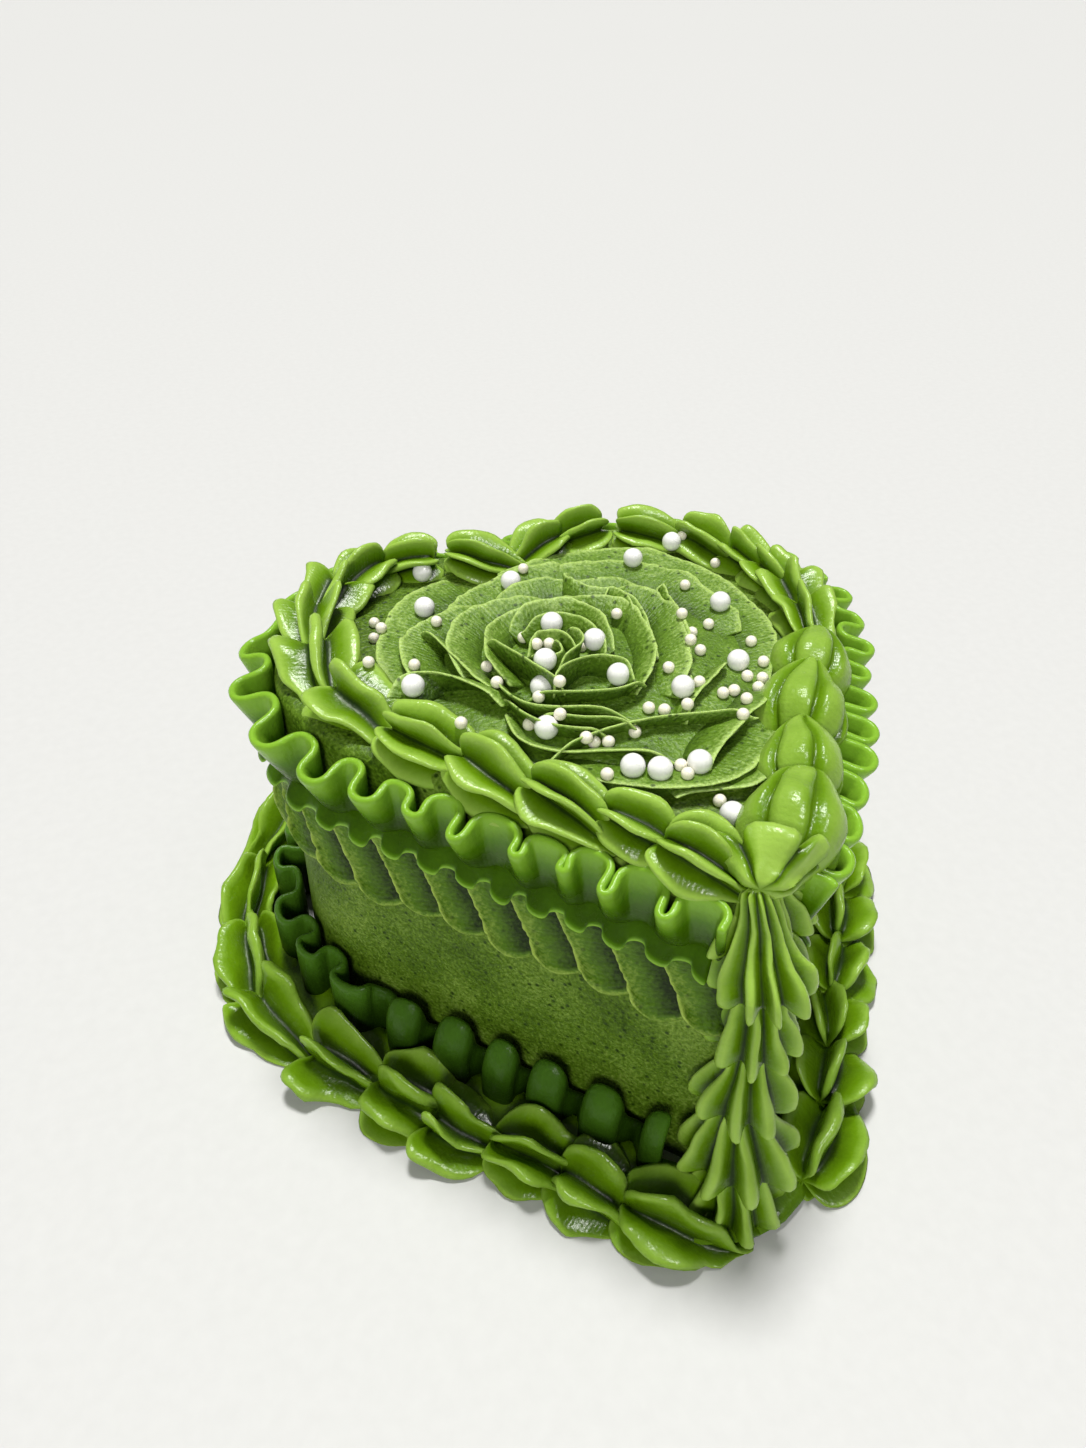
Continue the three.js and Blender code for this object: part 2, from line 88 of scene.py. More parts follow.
def reshape(piece, rule):
    for vertex in piece.data.vertices:
        vertex.co = rule(vertex.co)
    piece.data.update()


def refine(piece, kind, **settings):
    only(piece)
    modifier = piece.modifiers.new(kind.title(), kind)
    for name, value in settings.items():
        setattr(modifier, name, value)
    bpy.ops.object.modifier_apply(modifier=modifier.name)


def soften(piece):
    refine(piece, "SUBSURF", levels=1, render_levels=1)


def edit_all(piece):
    """Opens a piece in edit mode, with all of it selected."""
    only(piece)
    bpy.ops.object.mode_set(mode="EDIT")
    bpy.ops.mesh.select_all(action="SELECT")


def face_out(piece):
    edit_all(piece)
    bpy.ops.mesh.normals_make_consistent(inside=False)
    bpy.ops.object.mode_set(mode="OBJECT")


def add_strip(name, along, across):
    """A flat grid from -1 to 1 each way, with so many faces along X and along Y, ready to fold."""
    bpy.ops.object.select_all(action="DESELECT")
    bpy.ops.mesh.primitive_grid_add(x_subdivisions=along, y_subdivisions=across, size=2.0)
    strip = bpy.context.object
    strip.name = name
    return strip


def thicken(piece, thickness, offset=0.0, **settings):
    """Gives a folded strip its thickness, rounds its edges and points its faces outwards."""
    refine(piece, "SOLIDIFY", thickness=thickness, offset=offset, **settings)
    piece.vertex_groups.clear()
    soften(piece)
    face_out(piece)


def add_ring(name, corners, radius, fill="NOTHING"):
    bpy.ops.object.select_all(action="DESELECT")
    bpy.ops.mesh.primitive_circle_add(vertices=corners, radius=radius, fill_type=fill)
    ring = bpy.context.object
    ring.name = name
    return ring


def copy_of(template):
    twin = template.copy()
    twin.data = template.data.copy()
    bpy.context.collection.objects.link(twin)
    return twin


def join(parts, name):
    only(parts[0])
    for part in parts:
        part.select_set(True)
    bpy.ops.object.join()
    parts[0].name = name
    return parts[0]


def set_attribute(piece, name, rule):
    """Stores a number at each vertex, worked out from its place, for the materials to read."""
    layer = piece.data.attributes.get(name) or piece.data.attributes.new(name, "FLOAT", "POINT")
    for vertex, value in zip(piece.data.vertices, layer.data):
        value.value = rule(vertex.co)


def mix(a, b, share):
    return a + (b - a) * share


def ramp(value, low, high):
    share = min(1.0, max(0.0, (value - low) / (high - low)))
    return share * share * (3 - 2 * share)


def drift(where):
    """A smooth push in three directions that is the same each time the script runs."""
    return Vector([noise.noise(where + Vector((37.7 * k, 0, 0))) for k in range(3)])


def wobble(seed, value):
    """Smooth random numbers from about -1 to 1, different for each seed."""
    return noise.noise(Vector((value, seed * 17.31, seed * 3.7)))


# %% [markdown]
# ## The heart
# All the piping follows the outline of the heart, so the outline comes before any piece. It is made of
# arcs and straight lines: a small round at the point, a straight side, a lobe, and a hollow round at
# the cleft. Only the right half is stored, because a negative distance walks up the left side.

# %% The outline of the heart, as a distance walked from its point
LOBE_RADIUS = 51 * MM
LOBE_SHIFT = 25.5 * MM
APEX = 109 * MM
POINT_ROUND = 8 * MM
CLEFT_ROUND = 14 * MM
SIDE_SLOPE = math.atan2(LOBE_SHIFT, APEX) + math.asin(LOBE_RADIUS / math.hypot(LOBE_SHIFT, APEX))
POINT_CENTRE_Y = -APEX + POINT_ROUND / math.sin(SIDE_SLOPE)
POINT_Y = POINT_CENTRE_Y - POINT_ROUND
CLEFT_Y = math.sqrt((LOBE_RADIUS + CLEFT_ROUND) ** 2 - LOBE_SHIFT**2)
CLEFT_TURN = math.atan2(CLEFT_Y, -LOBE_SHIFT)

body_low, body_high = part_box("cake_body")
CENTRE = Vector(((body_low.x + body_high.x) / 2, body_low.y - POINT_Y))
CAKE_TOP = body_high.z

slope = Vector((math.cos(SIDE_SLOPE), -math.sin(SIDE_SLOPE)))
side_start = Vector((0, POINT_CENTRE_Y)) + slope * POINT_ROUND
side_end = Vector((LOBE_SHIFT, 0)) + slope * LOBE_RADIUS

# An arc is its length, centre, radius, first angle and bend. The side is its length, ends and way out.
OUTLINE = [
    (POINT_ROUND * (math.pi / 2 - SIDE_SLOPE), Vector((0, POINT_CENTRE_Y)), POINT_ROUND, -math.pi / 2, 1),
    ((side_end - side_start).length, side_start, side_end, slope, 0),
    (LOBE_RADIUS * (CLEFT_TURN + SIDE_SLOPE), Vector((LOBE_SHIFT, 0)), LOBE_RADIUS, -SIDE_SLOPE, 1),
    (CLEFT_ROUND * (CLEFT_TURN - math.pi / 2), Vector((0, CLEFT_Y)), CLEFT_ROUND, CLEFT_TURN - math.pi, -1),
]
HALF_WAY = sum(part[0] for part in OUTLINE)
ALL_ROUND = 2 * HALF_WAY
JUST_LEFT = -1e-9
print("half way round the wall", round(HALF_WAY / MM, 1), "mm")


def wall_at(distance):
    """The place on the wall and the way out of the cake, in the cake's frame."""
    side = 1 if distance >= 0 else -1
    left = min(abs(distance), HALF_WAY)
    for length, a, b, c, bend in OUTLINE:
        if left <= length or bend == -1:
            break
        left -= length
    if bend == 0:
        place, out = a.lerp(b, left / length), c
    else:
        angle = c + bend * left / b
        out = Vector((math.cos(angle), math.sin(angle)))
        place = a + out * b
        out = out * bend
    flip = Vector((side, 1))
    return place * flip + CENTRE, out * flip


def on_wall(distance, out, height):
    """A point beside the wall. The walk may go on past the cleft and down the left side."""
    if distance > HALF_WAY:
        distance = min(distance - ALL_ROUND, JUST_LEFT)
    place, away = wall_at(distance)
    flat = place + away * out
    return Vector((flat.x, flat.y, height))


# %% [markdown]
# ## Camera, floor and light
# The camera stands where the photo's camera stood: above and to the left of the point, looking down
# 37 degrees with a 26 mm lens. A strong light almost overhead gives the form and its soft highlights. A
# weaker one from the front left fills the shadows, as pale walls do, and isn't mirrored in the icing,
# and a small one is only mirrored, for the tiny bright highlights. Lights of type Sun light the whole
# floor evenly, whatever its size.

# %% Camera
LENS = 26.0
LONG_SIDE = 36.0
CAMERA_AT = Vector((-98.2 * MM, -218.5 * MM, 246.6 * MM)) + CENTRE.to_3d()
LOOK = Vector((0.3122, 0.7317, -0.6058)).normalized()
TILT = math.radians(1.23)

right = LOOK.cross(Vector((0, 0, 1))).normalized()
above = right.cross(LOOK)
right_turned = right * math.cos(TILT) + above * math.sin(TILT)
up_turned = above * math.cos(TILT) - right * math.sin(TILT)

camera_data = bpy.data.cameras.new("camera")
camera_data.lens = LENS
camera_data.sensor_width = LONG_SIDE
camera_data.sensor_fit = "AUTO"
camera_data.clip_start = 10 * MM
camera = bpy.data.objects.new("camera", camera_data)
bpy.context.collection.objects.link(camera)
turned = Matrix((right_turned, up_turned, -LOOK)).transposed()
camera.matrix_world = Matrix.Translation(CAMERA_AT) @ turned.to_4x4()
bpy.context.scene.camera = camera
bpy.context.scene.view_settings.view_transform = "Standard"
looks_down = round(math.degrees(math.asin(-LOOK.z)))
print("camera at", [round(c / MM) for c in CAMERA_AT], "mm, looking down", looks_down, "degrees")

# %% Floor and lights
FLOOR_SIZE = 40.0
FLOOR_HEIGHT = -0.05 * MM
SUN_COLOUR = (1.0, 0.995, 0.98)
SKY_COLOUR = (1.0, 1.0, 0.99, 1)
SKY_STRENGTH = 0.15

bpy.ops.object.select_all(action="DESELECT")
bpy.ops.mesh.primitive_plane_add(size=FLOOR_SIZE, location=(0, 0, FLOOR_HEIGHT))
floor = bpy.context.object
floor.name = "floor"
bpy.ops.object.transform_apply(location=True)
floor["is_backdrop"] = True

# A light's angle is how wide it looks from the cake, which sets how soft its shadows are.
LIGHTS = [
    # name, where it comes from, its angle in degrees, its strength and what it is used for
    ("overhead_window", (0.2, 0.65, 2.45), 13, 3.6, ("diffuse", "glossy")),
    ("pale_walls", (-1.9, -2.7, 2.2), 20, 1.55, ("diffuse",)),
    ("small_window", (0.9, -1.2, 2.6), 6, 2.1, ("glossy",)),
]
for name, place, angle, strength, uses in LIGHTS:
    data = bpy.data.lights.new(name, "SUN")
    data.angle = math.radians(angle)
    data.energy = strength
    data.color = SUN_COLOUR
    lamp = bpy.data.objects.new(name, data)
    bpy.context.collection.objects.link(lamp)
    lamp.location = place
    lamp.visible_glossy = "glossy" in uses
    lamp.visible_diffuse = "diffuse" in uses
    lamp.rotation_euler = (-Vector(place)).to_track_quat("-Z", "Y").to_euler()

world = bpy.data.worlds.new("studio")
world.use_nodes = True
sky = world.node_tree.nodes["Background"]
sky.inputs["Color"].default_value = SKY_COLOUR
sky.inputs["Strength"].default_value = SKY_STRENGTH
bpy.context.scene.world = world
print("lights:", ", ".join(light[0] for light in LIGHTS))

# %% [markdown]
# ## Icing materials
# Buttercream is butter fat whipped with sugar: slightly see-through, and greasy, so it shines softly.
# Every piece stores a number called `crest`, which is 0 in a groove and 1 on a rim, and the colour runs
# from deep to pale along it: painted shade in the grooves and painted light on the thin rims. Another
# one, `travel`, is how many mm of icing had left the nozzle, and drives the faint ripples across the
# stroke, about one a millimetre. The wall, the frill and the rose are of a speckled, airier batch, so
# they are duller, with fine dark specks.

# %% A hex colour turned to linear, and one function to add a node
def linear(hex_colour):
    parts = [int(hex_colour[i : i + 2], 16) / 255 for i in (1, 3, 5)]
    return [c / 12.92 if c <= 0.04045 else ((c + 0.055) / 1.055) ** 2.4 for c in parts] + [1.0]


def set_inputs(node, values):
    for name, value in values.items():
        node.inputs[name].default_value = value


def add(tree, kind, links=(), values=(), **settings):
    """A node with its settings. A name that isn't one of its settings is an input, and spaces in it are
    written as _. Inputs that share a name go by number, in values, and links feed the rest."""
    node = tree.nodes.new(kind)
    for name, value in settings.items():
        if hasattr(node, name):
            setattr(node, name, value)
        else:
            set_inputs(node, {name.replace("_", " "): value})
    set_inputs(node, dict(values))
    for target, source in dict(links).items():
        tree.links.new(source, node.inputs[target])
    return node


# %% The buttercream material
CLOUD = 9 * MM
DIMPLE = 3.5 * MM
GRAIN = 0.9 * MM
SPECK_SPACING = 2.4 * MM
# How many radians of ripple a mm of travel makes, and how deep the ripples are beside the grain.
RIPPLE_TURN = 5.5
RIPPLE_DEPTH = 0.07
GROOVE_ROUGHNESS = 0.5
BUTTER = {
    "IOR": 1.46,
    "Specular IOR Level": 0.3,
    "Subsurface Weight": 0.12,
    "Subsurface Radius": (0.8, 1.0, 0.25),
    "Subsurface Scale": 1.6 * MM,
}


def buttercream(name, deep, base, rim, roughness, speck=0.0, grain=0.35, fleck=0.1):
    """Piped or spread icing. The grain is in mm of depth, and fleck is how uneven the colour is."""
    material = bpy.data.materials.new(name)
    material.use_nodes = True
    tree = material.node_tree
    shader = tree.nodes["Principled BSDF"]
    spot = {"Vector": add(tree, "ShaderNodeTexCoord").outputs["Object"]}
    crest = add(tree, "ShaderNodeAttribute", attribute_name="crest").outputs["Fac"]
    travel = add(tree, "ShaderNodeAttribute", attribute_name="travel").outputs["Fac"]
    clouds = add(tree, "ShaderNodeTexNoise", spot, Scale=1 / CLOUD, Detail=3.0).outputs["Fac"]
    dimples = add(tree, "ShaderNodeTexNoise", spot, Scale=1 / DIMPLE, Detail=2.0).outputs["Fac"]
    fine = add(tree, "ShaderNodeTexNoise", spot, Scale=1 / GRAIN, Detail=4.0).outputs["Fac"]

    # The colour runs along the crest, from painted shade to painted light, shifted a little by broad
    # clouds and by fine flecks.
    low = -0.2 - fleck / 2
    spread = add(tree, "ShaderNodeMath", {0: clouds}, {1: 0.4, 2: low}, operation="MULTIPLY_ADD")
    flecks = add(
        tree, "ShaderNodeMath", {0: fine, 2: spread.outputs[0]}, {1: fleck}, operation="MULTIPLY_ADD"
    )
    level = add(tree, "ShaderNodeMath", {0: crest, 1: flecks.outputs[0]}, operation="ADD").outputs[0]
    colours = add(tree, "ShaderNodeValToRGB", {"Fac": level})
    stops = colours.color_ramp.elements
    stops[0].position, stops[0].color = 0.02, linear(deep)
    stops[1].position, stops[1].color = 0.98, linear(rim)
    middle = stops.new(0.55)
    middle.color = linear(base)
    colour = colours.outputs["Color"]

    # The specks are the middles of some of the cells of a cell pattern, chosen by the cells' own colour.
    if speck:
        cells = add(tree, "ShaderNodeTexVoronoi", spot, Scale=1 / SPECK_SPACING)
        near = {"Value": cells.outputs["Distance"]}
        dot = add(tree, "ShaderNodeMapRange", near, From_Min=0.3, From_Max=0.14)
        mark = add(tree, "ShaderNodeSeparateColor", {"Color": cells.outputs["Color"]}).outputs["Red"]
        few = add(tree, "ShaderNodeMath", {0: mark}, {1: 0.55}, operation="GREATER_THAN")
        gate = add(tree, "ShaderNodeMath", {0: dot.outputs[0], 1: few.outputs[0]}, operation="MULTIPLY")
        weak = add(tree, "ShaderNodeMath", {0: gate.outputs[0]}, {1: speck}, operation="MULTIPLY")
        blend = {"Factor": weak.outputs[0], 6: colour}
        colour = add(tree, "ShaderNodeMix", blend, {7: linear(deep)}, data_type="RGBA").outputs[2]

    # The relief is dimples and grain, and ripples across the stroke.
    relief = add(tree, "ShaderNodeMath", {0: dimples, 2: fine}, {1: 1.6}, operation="MULTIPLY_ADD")
    turns = add(
        tree, "ShaderNodeMath", {0: travel, 2: dimples}, {1: RIPPLE_TURN}, operation="MULTIPLY_ADD"
    )
    ripple = add(tree, "ShaderNodeMath", {0: turns.outputs[0]}, operation="SINE")
    parts = {0: ripple.outputs[0], 2: relief.outputs[0]}
    height = add(tree, "ShaderNodeMath", parts, {1: RIPPLE_DEPTH}, operation="MULTIPLY_ADD")
    bump = add(tree, "ShaderNodeBump", {"Height": height.outputs[0]}, Strength=0.5, Distance=grain * MM)

    # Grooves are duller than rims.
    duller = add(
        tree, "ShaderNodeMapRange", {"Value": level},
        From_Max=0.28, To_Min=GROOVE_ROUGHNESS, To_Max=roughness,
    )
    tree.links.new(colour, shader.inputs["Base Color"])
    tree.links.new(bump.outputs["Normal"], shader.inputs["Normal"])
    tree.links.new(duller.outputs[0], shader.inputs["Roughness"])
    set_inputs(shader, BUTTER)
    return material


# Each icing has three colours along its crest: deep, the painted shade in grooves; base; and rim, the
# painted light on thin rims. The specks use the deep colour too.
ICING = {
    "shell_icing": buttercream(
        "glossy_shell_buttercream", "#1a3200", "#62890c", "#95b84a", roughness=0.25, grain=0.24
    ),
    "ruffle_icing": buttercream(
        "glossy_ruffle_buttercream", "#122400", "#4c7606", "#80ae30", roughness=0.25, grain=0.24
    ),
    # Painted shade: the foot ruffle's icing is a darker copy of the ruffle icing, for the shade at the foot
    # of the cake.
    "foot_icing": buttercream(
        "shaded_ruffle_buttercream", "#0a1a00", "#2a480a", "#446c18", roughness=0.34
    ),
    "frill_icing": buttercream(
        "pressed_petal_buttercream", "#162800", "#4e720e", "#9eb850",
        roughness=0.44, speck=0.5, grain=0.6, fleck=0.6,
    ),
    "wall_icing": buttercream(
        "spread_buttercream", "#223a06", "#567518", "#829f40",
        roughness=0.42, speck=0.9, grain=1.1, fleck=1.3,
    ),
    "rose_icing": buttercream(
        "petal_buttercream", "#223b06", "#5e8022", "#abc76c",
        roughness=0.38, speck=0.8, grain=0.9, fleck=0.7,
    ),
}
print("icings:", ", ".join(ICING))

# %% Pearls and floor
def plain(name, colour, roughness, coat=0.0, glow=0.0):
    """A pearl's or floor's finish: one tone with a faint cloudiness, so that it isn't flat."""
    material = bpy.data.materials.new(name)
    material.use_nodes = True
    tree = material.node_tree
    shader = tree.nodes["Principled BSDF"]
    spot = {"Vector": add(tree, "ShaderNodeTexCoord").outputs["Object"]}
    clouds = add(tree, "ShaderNodeTexNoise", spot, Scale=1 / (4 * MM), Detail=2.0)
    tone = add(tree, "ShaderNodeValToRGB", {"Fac": clouds.outputs["Fac"]})
    tone.color_ramp.elements[0].color = [c * 0.93 for c in linear(colour)[:3]] + [1.0]
    tone.color_ramp.elements[1].color = linear(colour)
    tree.links.new(tone.outputs["Color"], shader.inputs["Base Color"])
    set_inputs(shader, {
        "Roughness": roughness, "Coat Weight": coat, "Coat Roughness": 0.12, "Subsurface Weight": glow,
        "Subsurface Radius": (1.0, 1.0, 1.0), "Subsurface Scale": 1.2 * MM,
    })
    return material


PEARL_WHITE = plain("pearl_sugar", "#fcfbf7", roughness=0.28, coat=0.6, glow=0.3)
PEARL_CREAM = plain("cream_sugar", "#fbf4e0", roughness=0.34, coat=0.4, glow=0.3)
floor.data.materials.append(plain("pale_studio_floor", "#c9c9c7", roughness=0.7))


def finish(piece, material, nodes=()):
    """Smooths and paints a finished piece, ties it to the cake, and hides the imported parts it stands for.
    """
    piece.data.materials.clear()
    piece.data.materials.append(material)
    only(piece)
    bpy.ops.object.shade_smooth()
    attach(piece, "root")
    if nodes:
        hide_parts(*nodes)
    piece.data.calc_loop_triangles()
    low, high = [
        [round(pick(v.co[axis] for v in piece.data.vertices) / MM, 1) for axis in range(3)]
        for pick in (min, max)
    ]
    print(piece.name, len(piece.data.loop_triangles), "triangles, from", low, "to", high, "mm")


# %% [markdown]
# ## The cake under the piping
# The sponge is covered with one smooth coat. A ring of vertices is laid on the outline, filled, drawn
# up in steps and bevelled at the top, and then the coat is made very slightly uneven, as a palette
# knife leaves it.

# %% Heart core
CORE_RING = 260
CORE_STEPS = 16
core = add_ring("smooth_coat", CORE_RING, LOBE_RADIUS)
for k, vertex in enumerate(core.data.vertices):
    vertex.co = on_wall(ALL_ROUND * k / CORE_RING, 0, 0)
edit_all(core)
bpy.ops.mesh.edge_face_add()
for _ in range(CORE_STEPS):
    bpy.ops.mesh.extrude_region_move(TRANSFORM_OT_translate={"value": (0, 0, CAKE_TOP / CORE_STEPS)})
bpy.ops.mesh.bevel(offset=3 * MM, segments=4, affect="EDGES")
bpy.ops.object.mode_set(mode="OBJECT")
face_out(core)


def uneven(co, depth=0.35 * MM, size=24 * MM):
    push = noise.noise(co / size) * depth * ramp(co.z, 0, 8 * MM)
    away = (co.xy - CENTRE).normalized()
    return Vector((co.x + away.x * push, co.y + away.y * push, co.z))


reshape(core, uneven)
set_attribute(core, "crest", lambda co: 0.55 + 0.3 * noise.noise(co / (16 * MM)))
finish(core, ICING["wall_icing"], ["cake_body"])

# %% [markdown]
# ## A piped shell
# A star nozzle squeezes icing out with a ridge for each of its points. The baker presses until the
# icing swells, then pulls away and lets go, so a shell is fat and open at its head and runs out to a
# point at its tail. Here a ring with five vertices for each ridge is drawn along by extruding it, and
# at each step the rims, the flanks and the grooves get a radius of their own. Close flanks make a thin
# blade, wide ones a plump rib.

# %% Draw a star of icing out along +Y
ROLES = (1.0, 0.5, 0.0, 0.5, 1.0)
LAG = {1.0: 0.0, 0.5: 0.4, 0.0: 1.0}


def pipe_star(name, fins, rows, rim_half=0.11, flank_half=0.2):
    """rows: (y, height, rim radius, flank share, groove share, how far the groove lags), in mm.
    Half the width of a rim and of its flanks are shares of the turn from fin to fin."""
    star = add_ring(name, len(ROLES) * fins, 1 * MM)
    steps = (rim_half, flank_half, 0.5, 1 - flank_half, 1 - rim_half)
    for k, vertex in enumerate(star.data.vertices):
        angle = 2 * math.pi * (k // len(ROLES) + steps[k % len(ROLES)]) / fins
        vertex.co = (math.sin(angle) * MM, 0, math.cos(angle) * MM)
    # Each vertex's role, 1 on a rim, 0.5 on a flank and 0 in a groove, is kept as `crest`: it sets the radii
    # below, and in the material it paints shade in the grooves and light on the rims.
    crest = star.data.attributes.new("crest", "FLOAT", "POINT")
    for k, value in enumerate(crest.data):
        value.value = ROLES[k % len(ROLES)]
    edit_all(star)
    radius = {role: 1.0 for role in ROLES}
    at_y, at_z, lagging = 0.0, 0.0, 0.0
    for k, (y, height, rim, flank, groove, lag) in enumerate(rows):
        step = (0, (y - at_y) * MM, (height - at_z) * MM)
        if k == 0:
            bpy.ops.transform.translate(value=step)
        else:
            bpy.ops.mesh.extrude_region_move(TRANSFORM_OT_translate={"value": step})
        at_y, at_z = y, height
        edit = bmesh.from_edit_mesh(star.data)
        layer = edit.verts.layers.float["crest"]
        ring = [v for v in edit.verts if v.select]
        for role, size in ((1.0, rim), (0.5, rim * flank), (0.0, rim * groove)):
            for v in ring:
                v.select = abs(v[layer] - role) < 0.1
            edit.select_flush_mode()
            share = size / radius[role]
            radius[role] = size
            middle = (0, y * MM, height * MM)
            bpy.ops.transform.resize(value=(share, 1, share), center_override=middle)
            bpy.ops.transform.translate(value=(0, (lag - lagging) * LAG[role] * MM, 0))
        lagging = lag
        for v in ring:
            v.select = True
        edit.select_flush_mode()
        bmesh.update_edit_mesh(star.data)
    bpy.ops.mesh.select_all(action="SELECT")
    bpy.ops.mesh.fill_holes(sides=0)
    bpy.ops.mesh.normals_make_consistent(inside=False)
    bpy.ops.object.mode_set(mode="OBJECT")
    soften(star)
    set_attribute(star, "travel", lambda co: co.y / MM)
    print(name, len(star.data.polygons), "faces")
    return star


LEAF_ROWS = [
    (1.4, 4.0, 2.4, 0.80, 0.50, 3.0),
    (0.3, 4.1, 6.4, 0.66, 0.34, 4.6),
    (0.0, 4.3, 9.2, 0.58, 0.26, 5.0),
    (0.9, 4.4, 11.0, 0.54, 0.23, 4.4),
    (3.0, 4.4, 11.6, 0.52, 0.22, 3.2),
    (6.2, 4.2, 11.2, 0.52, 0.22, 2.0),
    (9.6, 3.8, 10.2, 0.54, 0.24, 1.0),
    (13.0, 3.3, 8.8, 0.56, 0.28, 0.4),
    (16.4, 2.7, 7.2, 0.60, 0.33, 0.0),
    (19.6, 2.1, 5.4, 0.66, 0.42, 0.0),
    (22.6, 1.6, 3.6, 0.76, 0.56, 0.0),
    (25.6, 1.1, 1.7, 0.88, 0.78, 0.0),
]
leaf_shell = pipe_star("leaf_shell", 6, LEAF_ROWS)

MOON_ROWS = [
    (1.2, 4.0, 2.0, 0.80, 0.60, 2.4),
    (0.2, 4.1, 4.8, 0.66, 0.40, 3.4),
    (1.0, 4.2, 7.4, 0.58, 0.30, 3.2),
    (3.2, 4.3, 9.6, 0.54, 0.25, 2.4),
    (6.4, 4.3, 11.2, 0.52, 0.23, 1.6),
    (10.0, 4.1, 11.7, 0.52, 0.23, 1.0),
    (13.6, 3.7, 11.0, 0.54, 0.25, 0.4),
    (17.0, 3.1, 9.2, 0.58, 0.30, 0.0),
    (20.2, 2.4, 6.6, 0.64, 0.40, 0.0),
    (23.2, 1.8, 4.0, 0.76, 0.56, 0.0),
    (25.8, 1.3, 1.8, 0.88, 0.78, 0.0),
]
moon_shell = pipe_star("moon_shell", 7, MOON_ROWS, 0.12, 0.22)

PLUMP_ROWS = [
    (0.0, 6.4, 1.2, 0.96, 0.79, 0.0),
    (1.2, 6.2, 3.4, 0.96, 0.75, 0.0),
    (3.6, 5.9, 5.8, 0.96, 0.72, 0.0),
    (6.8, 5.5, 8.2, 0.96, 0.71, 0.0),
    (10.4, 5.2, 10.2, 0.96, 0.70, 0.0),
    (14.2, 4.8, 11.5, 0.96, 0.70, 0.0),
    (18.0, 4.4, 11.6, 0.96, 0.70, 0.0),
    (21.4, 3.7, 10.0, 0.96, 0.71, 0.0),
    (24.2, 2.9, 7.2, 0.96, 0.73, 0.0),
    (26.6, 2.1, 4.2, 0.96, 0.77, 0.0),
    (28.4, 1.5, 1.8, 0.96, 0.83, 0.0),
]
plump_shell = pipe_star("plump_shell", 6, PLUMP_ROWS, 0.24, 0.41)


def change_crest(piece, rule):
    for value in piece.data.attributes["crest"].data:
        value.value = rule(value.value)


# The plump shells' painted shade in the grooves and painted light on the rims are both made weaker.
change_crest(plump_shell, lambda crest: mix(0.32, 0.82, crest))

FAN_ROWS = [
    (1.6, 0.0, 8.0, 0.88, 0.74, 1.2),
    (0.2, 0.0, 11.0, 0.82, 0.64, 1.8),
    (0.3, 0.0, 12.4, 0.78, 0.56, 2.2),
    (2.2, 0.0, 12.8, 0.75, 0.52, 1.8),
    (5.4, 0.0, 12.2, 0.74, 0.50, 1.0),
    (8.8, 0.0, 10.6, 0.74, 0.50, 0.4),
    (12.0, 0.0, 8.4, 0.75, 0.53, 0.0),
    (15.4, 0.0, 6.2, 0.77, 0.60, 0.0),
    (19.5, 0.0, 4.6, 0.80, 0.68, 0.0),
    (27.0, 0.0, 3.4, 0.85, 0.78, 0.0),
]
fan = pipe_star("fan", 9, FAN_ROWS, 0.12, 0.25)

CAP_ROWS = [
    (2.6, 0.0, 4.8, 0.92, 0.60, 2.0),
    (0.6, 0.0, 9.4, 0.92, 0.52, 4.0),
    (0.0, 0.0, 11.6, 0.91, 0.48, 5.0),
    (1.6, 0.0, 11.8, 0.90, 0.48, 3.8),
    (3.8, 0.0, 10.4, 0.89, 0.50, 2.2),
    (6.0, 0.0, 8.0, 0.89, 0.56, 1.0),
    (8.2, 0.0, 5.6, 0.90, 0.66, 0.0),
    (10.8, 0.0, 3.8, 0.92, 0.76, 0.0),
]
point_cap = pipe_star("point_cap", 5, CAP_ROWS, 0.26, 0.42)

# %% [markdown]
# ## Laying shells along the heart
# Each shell is a copy of the first, turned along the outline and set down so that its swollen head
# covers the tail before it. No two squeezes are alike, so each copy is a little larger or smaller,
# rolled a little, and its rims are waved by smooth noise, most where `crest` is highest.

# %% Set one copy down
UP = Vector((0, 0, 1))
PATTERN_LENGTH = 25 * MM
BROAD_WAVE = 9 * MM
SMALL_WAVE = 4 * MM
FIN_SPREAD = 0.2
LEAST_STRAY = 0.35
SMALL_STRAY = 0.22


def set_down(template, place, along, up, scale, seed, wave, twist=0.0):
    """Wave is how far a rim strays, in mm, and twist how far the shell turns from head to tail."""
    shell = copy_of(template)
    middle = Vector((0, 0, sum(v.co.z for v in shell.data.vertices) / len(shell.data.vertices)))
    for vertex in shell.data.vertices:
        arm = vertex.co - middle
        spin = twist * vertex.co.y / PATTERN_LENGTH + FIN_SPREAD * math.sin(math.atan2(arm.x, arm.z) + seed)
        vertex.co = middle + Matrix.Rotation(spin, 3, "Y") @ arm
    side = along.cross(up).normalized()
    up = side.cross(along).normalized()
    turn = Matrix((side, along, up)).transposed().to_4x4()
    size = Matrix.Diagonal((scale[0], scale[1], scale[2], 1))
    shell.data.transform(Matrix.Translation(place) @ turn @ size)
    crest = shell.data.attributes["crest"]
    shift = Vector((seed * 1.7, seed * 0.9, seed * 2.3))
    for vertex, value in zip(shell.data.vertices, crest.data):
        broad = drift(vertex.co / BROAD_WAVE + shift) * (LEAST_STRAY + wave * value.value)
        small = drift(vertex.co / SMALL_WAVE - shift) * SMALL_STRAY * wave * value.value
        vertex.co += broad * MM + small * MM
    return shell


